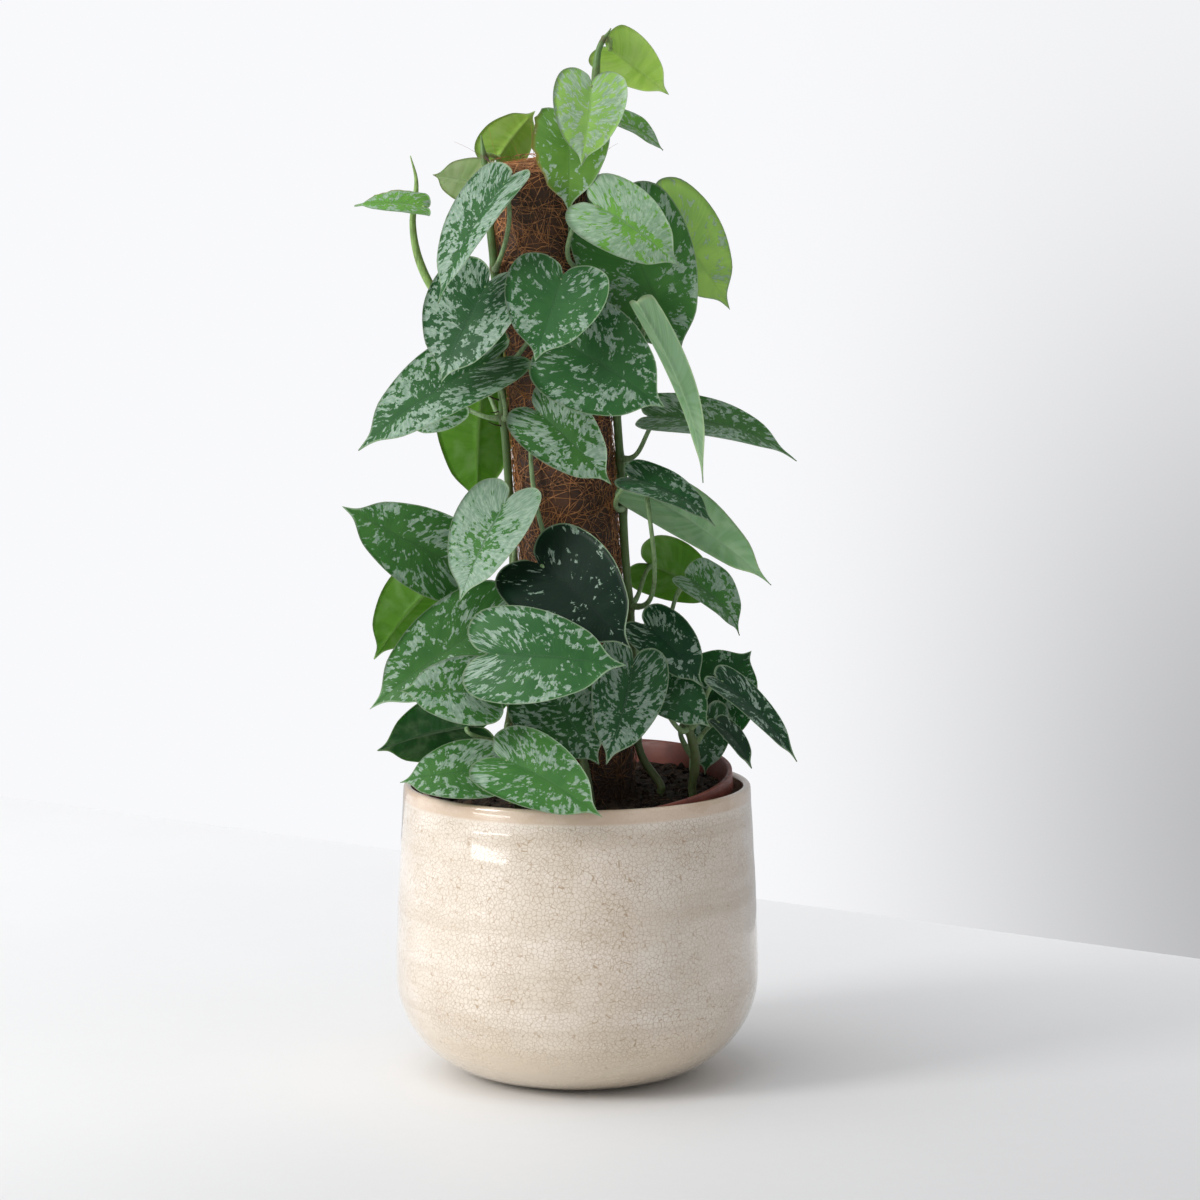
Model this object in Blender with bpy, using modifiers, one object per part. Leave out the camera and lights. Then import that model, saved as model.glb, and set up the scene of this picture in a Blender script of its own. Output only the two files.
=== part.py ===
"""Satin pothos climbing a coir pole, in a nursery pot that leans inside a glazed cachepot.

Metres, +Z up. The origin is the centre of the cachepot's flat underside, and the viewer stands at -Y.
Everything inside the cachepot is built in the plant frame: its origin is the centre of the nursery
pot's underside and its Z axis leans with that pot. Heights on the plant are heights above the soil.
"""

import itertools
import math
from collections import namedtuple

import bmesh
import bpy
import numpy as np
from mathutils import Matrix, Vector
from mathutils.bvhtree import BVHTree

GAP = 0.0003  # between pieces that touch

# Cachepot
POT_HEIGHT = 0.179
POT_RIM_RADIUS = 0.106
POT_BELLY_RADIUS = 0.1115
POT_BELLY_HEIGHT = 0.062
POT_FOOT_RADIUS = 0.048
POT_WALL = 0.005
POT_FLOOR = 0.006
POT_SIDE_POWER = 1.4  # how late the side turns in towards the rim

# Nursery pot, which leans to the left and towards the viewer
LEAN_LEFT = math.radians(3.8)
LEAN_FRONT = math.radians(5.5)
POT_PROUD = 0.004  # how far the nursery rim's centre stands above the cachepot's rim
NURSERY_LEAST_LIFT = 0.0082  # of its underside's centre above the cachepot's floor
NURSERY_LIFT_STEP = 0.0004
NURSERY_FOOT_ROOM = 0.00055  # from its foot's edge to the cachepot's bowl
NURSERY_RIM_GAP = 0.006  # to the cachepot's wall, all round
NURSERY_WALL = 0.0012
NURSERY_BASE_SHARE = 0.69  # base radius over rim radius: the taper that lets such pots stack
NURSERY_BAND = 0.013  # height of the thick band under its rim
NURSERY_BAND_STEP = 0.0016
DRAIN_HOLES = 6
DRAIN_RADIUS = 0.0045

# Soil
SOIL_BELOW_RIM = 0.014
SOIL_DOME = 0.004
SOCKET_DEPTH = 0.014

# Coir pole
POLE_X = 0.005  # off the nursery pot's axis
COIR_RADIUS = 0.031
POLE_HEIGHT = 0.392  # above the soil
POLE_FOOT = 0.020  # of the coir, above the nursery pot's underside
STAKE_RADIUS = 0.011
STAKE_FOOT = 0.008
STAKE_TOP_DROP = 0.005

# Plant
VINE_RADIUS = 0.0025
VINE_GAP = 0.0006  # to the coir
PETIOLE_RADIUS = 0.0016
BLADE_THICKNESS = 0.0008
BLADE_CLEARANCE = 0.0016  # either side of a blade while the leaves are placed
SETTLE_STEP = 0.0015
SETTLE_STEPS = 30
# Which way a stalk runs into its blade: (out of the upper side, along the midrib)
PETIOLE_ENDS = ((0.8, 0.5), (0.3, 0.5), (1.6, 0.5), (0.4, 1.2), (0.0, 1.0), (1.0, -0.5), (-0.6, 0.8))
PETIOLE_SWINGS = (0.0, 0.5, -0.5, 1.0, -1.0, 1.6, -1.6, 3.0, -3.0)
PETIOLE_SLIDES = (0.0, 0.008, -0.008, 0.016, -0.016, 0.026, -0.026, 0.04, -0.04, 0.06, -0.06)

ROUND_STEPS = 36
BLADE_ROWS = 6
BLADE_HALF_COLUMNS = 2
PETIOLE_SEGMENTS = 5
VINE_SPAN_SEGMENTS = 2

NURSERY_RIM_RADIUS = POT_RIM_RADIUS - POT_WALL - NURSERY_RIM_GAP
NURSERY_BASE_RADIUS = NURSERY_RIM_RADIUS * NURSERY_BASE_SHARE


def nursery_height(lift):
    return POT_HEIGHT + POT_PROUD - POT_FLOOR - lift


def plant_matrix(lift):
    """The plant frame's place. The nursery rim stays centred, so its foot moves back and to the right."""
    turn = Matrix.Rotation(-LEAN_LEFT, 4, "Y") @ Matrix.Rotation(LEAN_FRONT, 4, "X")
    rim = turn @ Vector((0, 0, nursery_height(lift)))
    return Matrix.Translation((-rim.x, -rim.y, POT_FLOOR + lift)) @ turn


def foot_room(lift):
    """Least room between the nursery pot's foot and the inside of the cachepot's bowl or floor."""
    place = plant_matrix(lift)
    depth = POT_BELLY_HEIGHT - POT_FLOOR
    bowl = POT_BELLY_RADIUS - POT_FOOT_RADIUS - POT_WALL
    least = math.inf
    for degrees in range(0, 360, 5):
        angle = math.radians(degrees)
        edge = place @ Vector(
            (NURSERY_BASE_RADIUS * math.cos(angle), NURSERY_BASE_RADIUS * math.sin(angle), 0.0)
        )
        drop = min(1.0, max(0.0, (POT_BELLY_HEIGHT - edge.z) / depth))
        reach = POT_FOOT_RADIUS + bowl * math.sqrt(1 - drop**2)
        least = min(least, reach - math.hypot(edge.x, edge.y), edge.z - POT_FLOOR)
    return least


NURSERY_LIFT = NURSERY_LEAST_LIFT
while foot_room(NURSERY_LIFT) < NURSERY_FOOT_ROOM:
    NURSERY_LIFT += NURSERY_LIFT_STEP
NURSERY_HEIGHT = nursery_height(NURSERY_LIFT)
SOIL_TOP = NURSERY_HEIGHT - SOIL_BELOW_RIM

# Half of a blade's outline, from the notch round the lobe to the drip tip:
# (share of the half width, share of the length).
OUTLINE = (
    (0.00, 0.00), (0.14, -0.12), (0.50, -0.18), (0.86, -0.09), (1.00, 0.15),
    (0.91, 0.44), (0.60, 0.72), (0.24, 0.91), (0.00, 1.00),
)
MIDRIB_POWER = 1.5  # how far back along the midrib the side veins start

# Vines: (degrees round the pole, 0 at the viewer and 90 to the right, height above the soil,
# distance from the pole's axis), where None lies against the coir.
VINES = {
    "vine_left": (
        (-78, -0.014, 0.046), (-78, 0.004, 0.046), (-78, 0.010, 0.046), (-82, 0.034, None), (-96, 0.090, None),
        (-88, 0.150, None), (-80, 0.210, None), (-84, 0.270, None), (-74, 0.330, None),
        (-92, 0.380, None), (-100, 0.408, 0.036),
    ),
    "vine_right": (
        (74, -0.014, 0.047), (74, 0.004, 0.047), (74, 0.010, 0.047), (80, 0.034, None), (94, 0.090, None),
        (78, 0.150, None), (86, 0.210, None), (74, 0.270, None), (52, 0.330, None),
        (56, 0.380, None), (70, 0.425, 0.035), (84, 0.452, 0.037), (80, 0.466, 0.046),
    ),
    "vine_front": (
        (4, -0.014, 0.044), (4, 0.004, 0.044), (4, 0.010, 0.044), (0, 0.034, None), (-14, 0.070, None),
        (4, 0.115, None), (20, 0.158, None),
    ),
    "vine_back": (
        (176, -0.014, 0.045), (176, 0.004, 0.045), (176, 0.010, 0.045), (180, 0.034, None), (168, 0.100, None),
        (186, 0.170, None), (174, 0.240, None), (188, 0.310, None), (176, 0.372, None),
        (182, 0.400, 0.036),
    ),
    "vine_low_left": (
        (-38, -0.014, 0.066), (-38, 0.004, 0.066), (-38, 0.010, 0.066), (-36, 0.034, 0.070), (-42, 0.060, 0.064),
        (-40, 0.088, 0.058),
    ),
    "vine_low_right": (
        (72, -0.014, 0.068), (72, 0.004, 0.068), (72, 0.010, 0.068), (70, 0.028, 0.072), (66, 0.048, 0.070),
        (60, 0.076, 0.062),
    ),
    "side_shoot": (
        (-66, 0.296, 0.042), (-70, 0.304, 0.056), (-74, 0.318, 0.070), (-78, 0.338, 0.078),
        (-80, 0.360, 0.080), (-80, 0.384, 0.076), (-82, 0.400, 0.078),
    ),
}

# A leaf: the vine and the height on it where its stalk starts, the blade's notch and tip as
# (x, y, height above the soil), its width, and the way its upper side faces as (degrees round,
# degrees up). arch bends the midrib, fold is a V along it, curl bends the tip down.
Leaf = namedtuple(
    "Leaf",
    "vine node base tip width faces arch fold curl side twist lobe",
    defaults=(0.13, 0.15, 0.0, 0.0, 0.0, 1.0),
)

LEAVES = {
    # Behind the pole
    "leaf_01": Leaf("vine_back", 0.330, (0.006, 0.052, 0.352), (-0.012, 0.074, 0.276), 0.062, (180, 35)),
    "leaf_02": Leaf("vine_back", 0.250, (-0.010, 0.054, 0.268), (0.020, 0.078, 0.196), 0.060, (175, 30)),
    "leaf_03": Leaf("vine_back", 0.180, (0.018, 0.054, 0.196), (-0.018, 0.086, 0.128), 0.062, (-175, 35)),
    "leaf_04": Leaf("vine_back", 0.110, (-0.026, 0.056, 0.120), (0.012, 0.096, 0.062), 0.064, (178, 40)),
    "leaf_05": Leaf("vine_back", 0.060, (0.040, 0.062, 0.088), (0.064, 0.096, 0.034), 0.056, (150, 40)),
    "leaf_06": Leaf("vine_back", 0.040, (-0.044, 0.050, 0.070), (-0.066, 0.082, 0.020), 0.058, (-150, 40)),
    # Round the sides
    "leaf_08": Leaf("vine_left", 0.370, (-0.026, 0.026, 0.374), (-0.061, 0.010, 0.386), 0.032, (190, 20), lobe=0.6),
    "leaf_07": Leaf("vine_left", 0.392, (-0.023, 0.028, 0.391), (0.002, 0.030, 0.418), 0.034, (185, 20)),
    "leaf_09": Leaf("vine_left", 0.230, (-0.040, 0.020, 0.262), (-0.050, 0.030, 0.178), 0.056, (195, 10)),
    "leaf_10": Leaf("vine_left", 0.110, (-0.074, 0.006, 0.142), (-0.119, 0.010, 0.094), 0.050, (200, 20)),
    "leaf_11": Leaf("vine_left", 0.040, (-0.060, -0.014, 0.054), (-0.119, -0.024, 0.045), 0.050, (-165, 15)),
    "leaf_12": Leaf("vine_right", 0.330, (0.071, 0.002, 0.358), (0.110, -0.006, 0.296), 0.052, (20, 10)),
    "leaf_13": Leaf("vine_right", 0.110, (0.052, 0.022, 0.140), (0.096, 0.024, 0.112), 0.044, (170, 15)),
    "leaf_15": Leaf("vine_low_right", 0.016, (0.082, -0.002, 0.050), (0.078, -0.006, 0.012), 0.030, (30, 10)),
    "leaf_14": Leaf("vine_low_right", 0.030, (0.080, 0.020, 0.046), (0.112, 0.026, 0.080), 0.056, (-10, 20)),
    "leaf_16": Leaf("vine_left", 0.250, (-0.058, 0.000, 0.250), (-0.088, -0.002, 0.236), 0.028, (-10, 20)),
    # The top
    "leaf_17": Leaf("vine_right", 0.456, (0.047, 0.004, 0.455), (0.082, 0.010, 0.424), 0.034, (-150, 40), lobe=0.5),
    "leaf_18": Leaf("vine_right", 0.400, (0.045, -0.010, 0.416), (0.076, -0.015, 0.394), 0.030, (60, 50)),
    "leaf_19": Leaf("vine_right", 0.370, (0.022, -0.022, 0.415), (0.019, -0.048, 0.365), 0.050, (-5, 25)),
    "leaf_20": Leaf("vine_right", 0.412, (0.037, -0.034, 0.437), (0.028, -0.062, 0.392), 0.043, (5, 30)),
    "leaf_21": Leaf("side_shoot", 0.376, (-0.064, -0.028, 0.371), (-0.106, -0.030, 0.375), 0.030, (0, 68), lobe=0.3),
    # Down the front
    "leaf_22": Leaf("vine_left", 0.240, (-0.032, -0.024, 0.279), (-0.114, -0.044, 0.233), 0.056, (-25, 40)),
    "leaf_23": Leaf("vine_left", 0.290, (-0.031, -0.038, 0.326), (-0.062, -0.056, 0.271), 0.062, (-25, 25)),
    "leaf_24": Leaf("vine_left", 0.340, (-0.014, -0.044, 0.387), (-0.060, -0.068, 0.319), 0.046, (-50, 15), fold=0.25, lobe=0.45),
    "leaf_25": Leaf("vine_right", 0.310, (0.048, -0.034, 0.357), (0.079, -0.046, 0.272), 0.068, (0, 12)),
    "leaf_26": Leaf("vine_right", 0.340, (0.034, -0.058, 0.369), (0.081, -0.068, 0.331), 0.046, (5, 30)),
    "leaf_27": Leaf("vine_left", 0.300, (0.013, -0.060, 0.330), (-0.006, -0.084, 0.284), 0.060, (-5, 20)),
    "leaf_28": Leaf("vine_right", 0.200, (0.058, -0.022, 0.238), (0.145, -0.030, 0.211), 0.050, (20, 70), curl=0.3, lobe=0.4),
    "leaf_29": Leaf("vine_right", 0.250, (0.012, -0.054, 0.289), (0.067, -0.070, 0.250), 0.066, (0, 15)),
    "leaf_30": Leaf("vine_right", 0.280, (0.055, -0.080, 0.314), (0.090, -0.092, 0.210), 0.020, (140, 5), fold=0.45, curl=0.3, lobe=0.1),
    "leaf_31": Leaf("vine_front", 0.150, (-0.008, -0.044, 0.249), (0.033, -0.066, 0.206), 0.044, (-5, 30)),
    "leaf_32": Leaf("vine_right", 0.120, (0.048, -0.028, 0.196), (0.124, -0.034, 0.133), 0.042, (175, 35), lobe=0.5),
    "leaf_33": Leaf("vine_right", 0.170, (0.044, -0.050, 0.207), (0.094, -0.060, 0.179), 0.038, (30, 65), curl=0.4, lobe=0.6),
    "leaf_34": Leaf("vine_right", 0.070, (0.074, -0.020, 0.139), (0.106, -0.032, 0.106), 0.042, (50, 40), fold=0.3, curl=0.5, lobe=0.5),
    "leaf_35": Leaf("vine_left", 0.130, (-0.063, -0.030, 0.157), (-0.127, -0.040, 0.199), 0.050, (-15, 20)),
    "leaf_36": Leaf("vine_left", 0.090, (-0.040, -0.054, 0.128), (-0.118, -0.070, 0.082), 0.056, (-20, 25)),
    "leaf_37": Leaf("vine_left", 0.165, (-0.029, -0.048, 0.198), (-0.060, -0.080, 0.145), 0.050, (-25, 25)),
    "leaf_38": Leaf("vine_low_right", 0.070, (0.048, -0.034, 0.114), (0.079, -0.050, 0.078), 0.040, (20, 45)),
    "leaf_39": Leaf("vine_low_right", 0.050, (0.052, -0.042, 0.081), (0.082, -0.056, 0.054), 0.036, (10, 30)),
    "leaf_40": Leaf("vine_front", 0.070, (0.039, -0.052, 0.099), (0.019, -0.080, 0.044), 0.046, (20, 25)),
    "leaf_41": Leaf("vine_low_right", 0.060, (0.088, -0.051, 0.083), (0.132, -0.063, 0.031), 0.030, (40, 60), lobe=0.4),
    "leaf_42": Leaf("vine_low_right", 0.040, (0.087, -0.016, 0.048), (0.106, -0.030, 0.020), 0.022, (60, 50), lobe=0.4),
    "leaf_44": Leaf("vine_low_left", 0.050, (-0.050, -0.072, 0.040), (-0.104, -0.066, 0.035), 0.044, (-10, 50)),
    "leaf_47": Leaf("vine_low_left", 0.076, (-0.047, -0.084, 0.092), (-0.098, -0.092, 0.098), 0.042, (-10, 25)),
    "leaf_43": Leaf("vine_front", 0.050, (-0.014, -0.062, 0.084), (0.015, -0.086, 0.043), 0.056, (0, 30)),
    "leaf_48": Leaf("vine_low_left", 0.060, (-0.042, -0.090, 0.053), (0.015, -0.122, 0.022), 0.050, (-5, 45)),
    "leaf_45": Leaf("vine_front", 0.100, (-0.045, -0.084, 0.116), (0.035, -0.102, 0.108), 0.058, (0, 20)),
    "leaf_46": Leaf("vine_front", 0.140, (-0.013, -0.060, 0.161), (0.038, -0.096, 0.114), 0.066, (5, 30)),
}

YOUNG_LEAVES = ("leaf_07", "leaf_08", "leaf_12", "leaf_17", "leaf_18", "leaf_21")


def material(name, colour, roughness):
    made = bpy.data.materials.new(name)
    made.use_nodes = True
    shader = made.node_tree.nodes["Principled BSDF"]
    shader.inputs["Base Color"].default_value = (*colour, 1.0)
    shader.inputs["Roughness"].default_value = roughness
    shader.inputs["Metallic"].default_value = 0.0
    return made


def add_object(name, data, collection, parent, surface):
    made = bpy.data.objects.new(name, data)
    collection.objects.link(made)
    made.parent = parent
    if surface:
        made.data.materials.append(surface)
    return made


def arc(centre_x, centre_z, radius_x, radius_z, start, end, steps):
    """Points of an elliptical arc, from start to end in degrees."""
    angles = np.radians(np.linspace(start, end, steps + 1))
    return [
        (centre_x + radius_x * math.cos(a), centre_z + radius_z * math.sin(a))
        for a in angles
    ]


def turned(name, profile, collection, parent, surface, steps=ROUND_STEPS):
    """A solid of revolution about Z. The profile runs up the inside and down the outside."""
    mesh = bpy.data.meshes.new(name)
    edges = [(i, i + 1) for i in range(len(profile) - 1)]
    mesh.from_pydata([(x, 0.0, z) for x, z in profile], edges, [])
    made = add_object(name, mesh, collection, parent, surface)
    screw = made.modifiers.new("Turn", "SCREW")
    screw.axis = "Z"
    screw.steps = steps
    screw.render_steps = steps
    screw.use_merge_vertices = True
    screw.merge_threshold = 0.00001
    screw.use_smooth_shade = True
    return made


def rod_cutter(name, x, y, low, high, radius, collection, parent):
    """A plain rod from low to high, used to bore a hole."""
    mesh = bpy.data.meshes.new(name)
    shape = bmesh.new()
    bmesh.ops.create_cone(
        shape,
        cap_ends=True,
        segments=16,
        radius1=radius,
        radius2=radius,
        depth=high - low,
        matrix=Matrix.Translation((x, y, (low + high) / 2)),
    )
    shape.to_mesh(mesh)
    shape.free()
    made = add_object(name, mesh, collection, parent, None)
    hide(made)
    return made


def hide(helper):
    helper.hide_render = True
    helper.display_type = "WIRE"


def boolean(target, other, operation):
    modifier = target.modifiers.new(other.name, "BOOLEAN")
    modifier.object = other
    modifier.operation = operation


# Cachepot, nursery pot, soil and pole


def pot_side_radius(height):
    """Outer radius of the cachepot's side above its belly."""
    share = (height - POT_BELLY_HEIGHT) / (POT_HEIGHT - POT_BELLY_HEIGHT)
    return POT_BELLY_RADIUS - (POT_BELLY_RADIUS - POT_RIM_RADIUS) * share**POT_SIDE_POWER


def build_cachepot(collection, surface):
    lip = POT_WALL / 2
    lip_height = POT_HEIGHT - lip
    side = np.linspace(POT_BELLY_HEIGHT, lip_height, 5)
    bowl = POT_BELLY_RADIUS - POT_FOOT_RADIUS
    outer = [(pot_side_radius(h), h) for h in side[::-1][1:]]
    outer += arc(POT_FOOT_RADIUS, POT_BELLY_HEIGHT, bowl, POT_BELLY_HEIGHT, 0, -90, 7)[1:]
    inner = arc(
        POT_FOOT_RADIUS,
        POT_BELLY_HEIGHT,
        bowl - POT_WALL,
        POT_BELLY_HEIGHT - POT_FLOOR,
        -90,
        0,
        6,
    )
    inner += [(pot_side_radius(h) - POT_WALL, h) for h in side[1:-1]]
    rim = arc(pot_side_radius(lip_height) - lip, lip_height, lip, lip, 180, 0, 4)
    profile = [(0.0, POT_FLOOR)] + inner + rim + outer + [(0.0, 0.0)]
    return turned("cachepot", profile, collection, None, surface)


def nursery_radius(height):
    """Outer radius of the nursery pot's wall, below its band."""
    foot = NURSERY_BASE_RADIUS
    top = NURSERY_RIM_RADIUS - NURSERY_BAND_STEP
    return foot + (top - foot) * height / NURSERY_HEIGHT


def build_nursery_pot(collection, cutters, plant, surface):
    wall = NURSERY_WALL
    band = NURSERY_HEIGHT - NURSERY_BAND
    profile = [
        (0.0, wall),
        (nursery_radius(wall) - wall, wall),
        (nursery_radius(NURSERY_HEIGHT) - wall, NURSERY_HEIGHT),
        (NURSERY_RIM_RADIUS, NURSERY_HEIGHT),
        (NURSERY_RIM_RADIUS, band + NURSERY_BAND_STEP),
        (nursery_radius(band), band),
        (NURSERY_BASE_RADIUS, 0.0),
        (0.0, 0.0),
    ]
    pot = turned("nursery_pot", profile, collection, plant, surface)
    for i in range(DRAIN_HOLES):
        angle = math.tau * i / DRAIN_HOLES
        reach = NURSERY_BASE_RADIUS * 0.6
        hole = rod_cutter(
            f"drain_cutter_{i + 1}",
            reach * math.cos(angle),
            reach * math.sin(angle),
            -wall,
            2 * wall,
            DRAIN_RADIUS,
            cutters,
            plant,
        )
        boolean(pot, hole, "DIFFERENCE")
    return pot


def build_soil(collection, cutters, plant, surface, feet):
    low = NURSERY_WALL + GAP
    clear = NURSERY_WALL + GAP
    dome = [
        (nursery_radius(SOIL_TOP) * share, SOIL_TOP + SOIL_DOME * (1 - share**2))
        for share in (0.0, 0.3, 0.55, 0.8)
    ]
    edge = (nursery_radius(SOIL_TOP) - clear, SOIL_TOP)
    bottom = (nursery_radius(low) - clear, low)
    soil = turned("soil", dome + [edge, bottom, (0.0, low)], collection, plant, surface)
    over = SOIL_TOP + 2 * SOIL_DOME
    sockets = [
        ("pole_socket", POLE_X, 0.0, POLE_FOOT - GAP, COIR_RADIUS),
        ("stake_socket", POLE_X, 0.0, STAKE_FOOT - GAP, STAKE_RADIUS),
    ]
    sockets += [
        (f"{vine}_socket", foot.x, foot.y, SOIL_TOP - SOCKET_DEPTH - GAP, VINE_RADIUS)
        for vine, foot in feet.items()
    ]
    for name, x, y, base, radius in sockets:
        # The bore is a polygon, so its flats and not its corners have to clear what it holds.
        bore = (radius + GAP) / math.cos(math.pi / 16)
        boolean(soil, rod_cutter(name, x, y, base, over, bore, cutters, plant), "DIFFERENCE")
    return soil


def build_pole(collection, plant, coir, stake):
    top = SOIL_TOP + POLE_HEIGHT
    bore = STAKE_RADIUS + GAP
    sleeve_profile = [
        (bore, POLE_FOOT),
        (bore, top),
        (COIR_RADIUS, top),
        (COIR_RADIUS, POLE_FOOT),
        (bore, POLE_FOOT),
    ]
    sleeve = turned("coir_sleeve", sleeve_profile, collection, plant, coir, 24)
    stake_top = top - STAKE_TOP_DROP
    core_profile = [
        (0.0, stake_top),
        (STAKE_RADIUS, stake_top),
        (STAKE_RADIUS, STAKE_FOOT),
        (0.0, STAKE_FOOT),
    ]
    core = turned("pole_stake", core_profile, collection, plant, stake, 24)
    for part in (sleeve, core):
        part.location.x = POLE_X
    return sleeve, core


# Stems


def smooth_through(points, per_span):
    """Points of a Catmull-Rom curve through the given ones."""
    p = np.array(points, float)
    p = np.vstack([2 * p[0] - p[1], p, 2 * p[-1] - p[-2]])
    found = []
    for i in range(1, len(p) - 2):
        for t in np.arange(per_span) / per_span:
            a, b, c, d = p[i - 1 : i + 3]
            found.append(
                b
                + 0.5 * t * (c - a)
                + t * t * (a - 2.5 * b + 2 * c - 0.5 * d)
                + t**3 * (1.5 * (b - c) + 0.5 * (d - a))
            )
    found.append(p[-2])
    return [Vector(q) for q in found]


def vine_path(name):
    """The vine's centre line in the plant frame."""
    touching = COIR_RADIUS + VINE_GAP + VINE_RADIUS
    stations = [(degrees, height, reach or touching) for degrees, height, reach in VINES[name]]
    path = []
    for degrees, height, reach in smooth_through(stations, VINE_SPAN_SEGMENTS):
        angle = math.radians(degrees)
        reach = max(reach, touching)
        path.append(
            Vector((POLE_X + reach * math.sin(angle), -reach * math.cos(angle), SOIL_TOP + height))
        )
    return path


def stem(name, path, radii, collection, parent, surface):
    """A round stem as a bevelled curve, with a radius at each of its points."""
    curve = bpy.data.curves.new(name, "CURVE")
    curve.dimensions = "3D"
    curve.bevel_depth = 1.0
    curve.bevel_resolution = 1
    curve.use_fill_caps = True
    spline = curve.splines.new("POLY")
    spline.points.add(len(path) - 1)
    for point, place, radius in zip(spline.points, path, radii):
        point.co = (*place, 1.0)
        point.radius = radius
    return add_object(name, curve, collection, parent, surface)


def mesh_from_curve(obj, collection):
    """Turns a bevelled curve into a closed mesh object of the same name and place."""
    graph = bpy.context.evaluated_depsgraph_get()
    graph.update()
    mesh = bpy.data.meshes.new_from_object(obj.evaluated_get(graph))
    name, parent = obj.name, obj.parent
    bpy.data.objects.remove(obj)
    shape = bmesh.new()
    shape.from_mesh(mesh)
    bmesh.ops.remove_doubles(shape, verts=shape.verts, dist=0.00001)
    bmesh.ops.recalc_face_normals(shape, faces=shape.faces)
    shape.to_mesh(mesh)
    shape.free()
    return add_object(name, mesh, collection, parent, None)


def build_vine(name, collection, plant, surface):
    path = vine_path(name)
    thin = np.interp(np.arange(len(path)), [0, len(path) - 5, len(path) - 1], [1, 1, 0.55])
    vine = mesh_from_curve(
        stem(name, path, VINE_RADIUS * thin, collection, plant, surface), collection
    )
    for face in vine.data.polygons:
        face.use_smooth = True
    return vine


# Leaves

HALF_OUTLINE = smooth_through([(x, y, 0.0) for x, y in OUTLINE], 6)


def outline_point(v):
    """(share of half width, share of length) at v along the half outline, 0 to 1."""
    place = v * (len(HALF_OUTLINE) - 1)
    index = min(int(place), len(HALF_OUTLINE) - 2)
    return HALF_OUTLINE[index].lerp(HALF_OUTLINE[index + 1], place - index).xy


def blade_point(leaf, length, u, v):
    """A point of the blade in its own frame: x across, y along the midrib, z up from its face.
    u runs from margin to margin, -1 to 1, and v from the notch to the tip."""
    side_x, side_y = outline_point(v)
    if side_y < 0:
        side_y *= leaf.lobe
    rib = v**MIDRIB_POWER
    across = abs(u)
    x = math.copysign(side_x * across, u) * leaf.width / 2
    s = rib + (side_y - rib) * across**1.3
    half = leaf.width / 2
    z = leaf.arch * length * 4 * s * (1 - s) * 0.5
    z += leaf.fold * (math.hypot(x, 0.15 * half) - 0.15 * half)
    z -= leaf.curl * length * max(0.0, s - 0.55) ** 2
    twist = math.radians(leaf.twist) * s
    x, z = x * math.cos(twist) - z * math.sin(twist), x * math.sin(twist) + z * math.cos(twist)
    x += leaf.side * length * s * (1 - s)
    return Vector((x, s * length, z))


def blade_frame(leaf):
    """(length, 3x3 matrix) of the blade: its columns are across, along and up."""
    chord = Vector(leaf.tip) - Vector(leaf.base)
    along = chord.normalized()
    round_, up = (math.radians(a) for a in leaf.faces)
    face = Vector(
        (math.sin(round_) * math.cos(up), -math.cos(round_) * math.cos(up), math.sin(up))
    )
    normal = (face - along * face.dot(along)).normalized()
    across = along.cross(normal)
    return chord.length, Matrix((across, along, normal)).transposed()


def blade_mesh(name, leaf):
    """The blade as an open surface about its notch."""
    length, turn = blade_frame(leaf)
    shape = bmesh.new()
    bmesh.ops.create_grid(
        shape, x_segments=2 * BLADE_HALF_COLUMNS, y_segments=BLADE_ROWS, size=0.5
    )
    for vertex in shape.verts:
        u, v = 2 * vertex.co.x, vertex.co.y + 0.5
        vertex.co = turn @ blade_point(leaf, length, u, v)
    bmesh.ops.remove_doubles(shape, verts=shape.verts, dist=0.00005)
    shape.normal_update()
    mesh = bpy.data.meshes.new(name)
    shape.to_mesh(mesh)
    shape.free()
    return mesh


def tree_of(mesh, place, offset=0.0):
    """A BVH of a mesh moved to place, with a skin at offset either side of it."""
    faces = [tuple(p.vertices) for p in mesh.polygons]
    skins = (-offset, 0.0, offset) if offset else (0.0,)
    points, sides = [], []
    for skin in skins:
        start = len(points)
        points += [place @ (v.co + v.normal * skin) for v in mesh.vertices]
        sides += [tuple(start + i for i in face) for face in faces]
    return BVHTree.FromPolygons(points, sides)


def hits(tree, placed):
    return sum(bool(tree.overlap(other)) for other in placed)


def settle(leaf, mesh, placed, first):
    """The first step forwards or back, from the one given, at which the blade hangs clear of what is
    placed, and the move it makes. Past the last step it takes that one as it is."""
    middle = (leaf.base[1] + leaf.tip[1]) / 2
    base = Vector(leaf.base) + Vector((0, 0, SOIL_TOP))
    for step in range(first, SETTLE_STEPS):
        shift = Vector((0.0, math.copysign(SETTLE_STEP * step, middle), 0.0))
        tree = tree_of(mesh, Matrix.Translation(base + shift), BLADE_CLEARANCE)
        if not hits(tree, placed):
            break
    return step, shift


def bezier(p0, p1, p2, p3, count):
    return [
        p0 * (1 - t) ** 3 + p1 * 3 * t * (1 - t) ** 2 + p2 * 3 * t * t * (1 - t) + p3 * t**3
        for t in np.linspace(0, 1, count + 1)
    ]


def tube_tree(path, radius):
    """A BVH of a hexagonal tube round a path."""
    points, faces = [], []
    for i, place in enumerate(path):
        ahead = path[min(i + 1, len(path) - 1)] - path[max(i - 1, 0)]
        across = ahead.orthogonal().normalized()
        other = ahead.cross(across).normalized()
        for a in range(6):
            angle = math.tau * a / 6
            points.append(place + (across * math.cos(angle) + other * math.sin(angle)) * radius)
        if i:
            k = 6 * i
            faces += [(k + a, k + (a + 1) % 6, k - 6 + (a + 1) % 6, k - 6 + a) for a in range(6)]
    return BVHTree.FromPolygons(points, faces)


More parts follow.
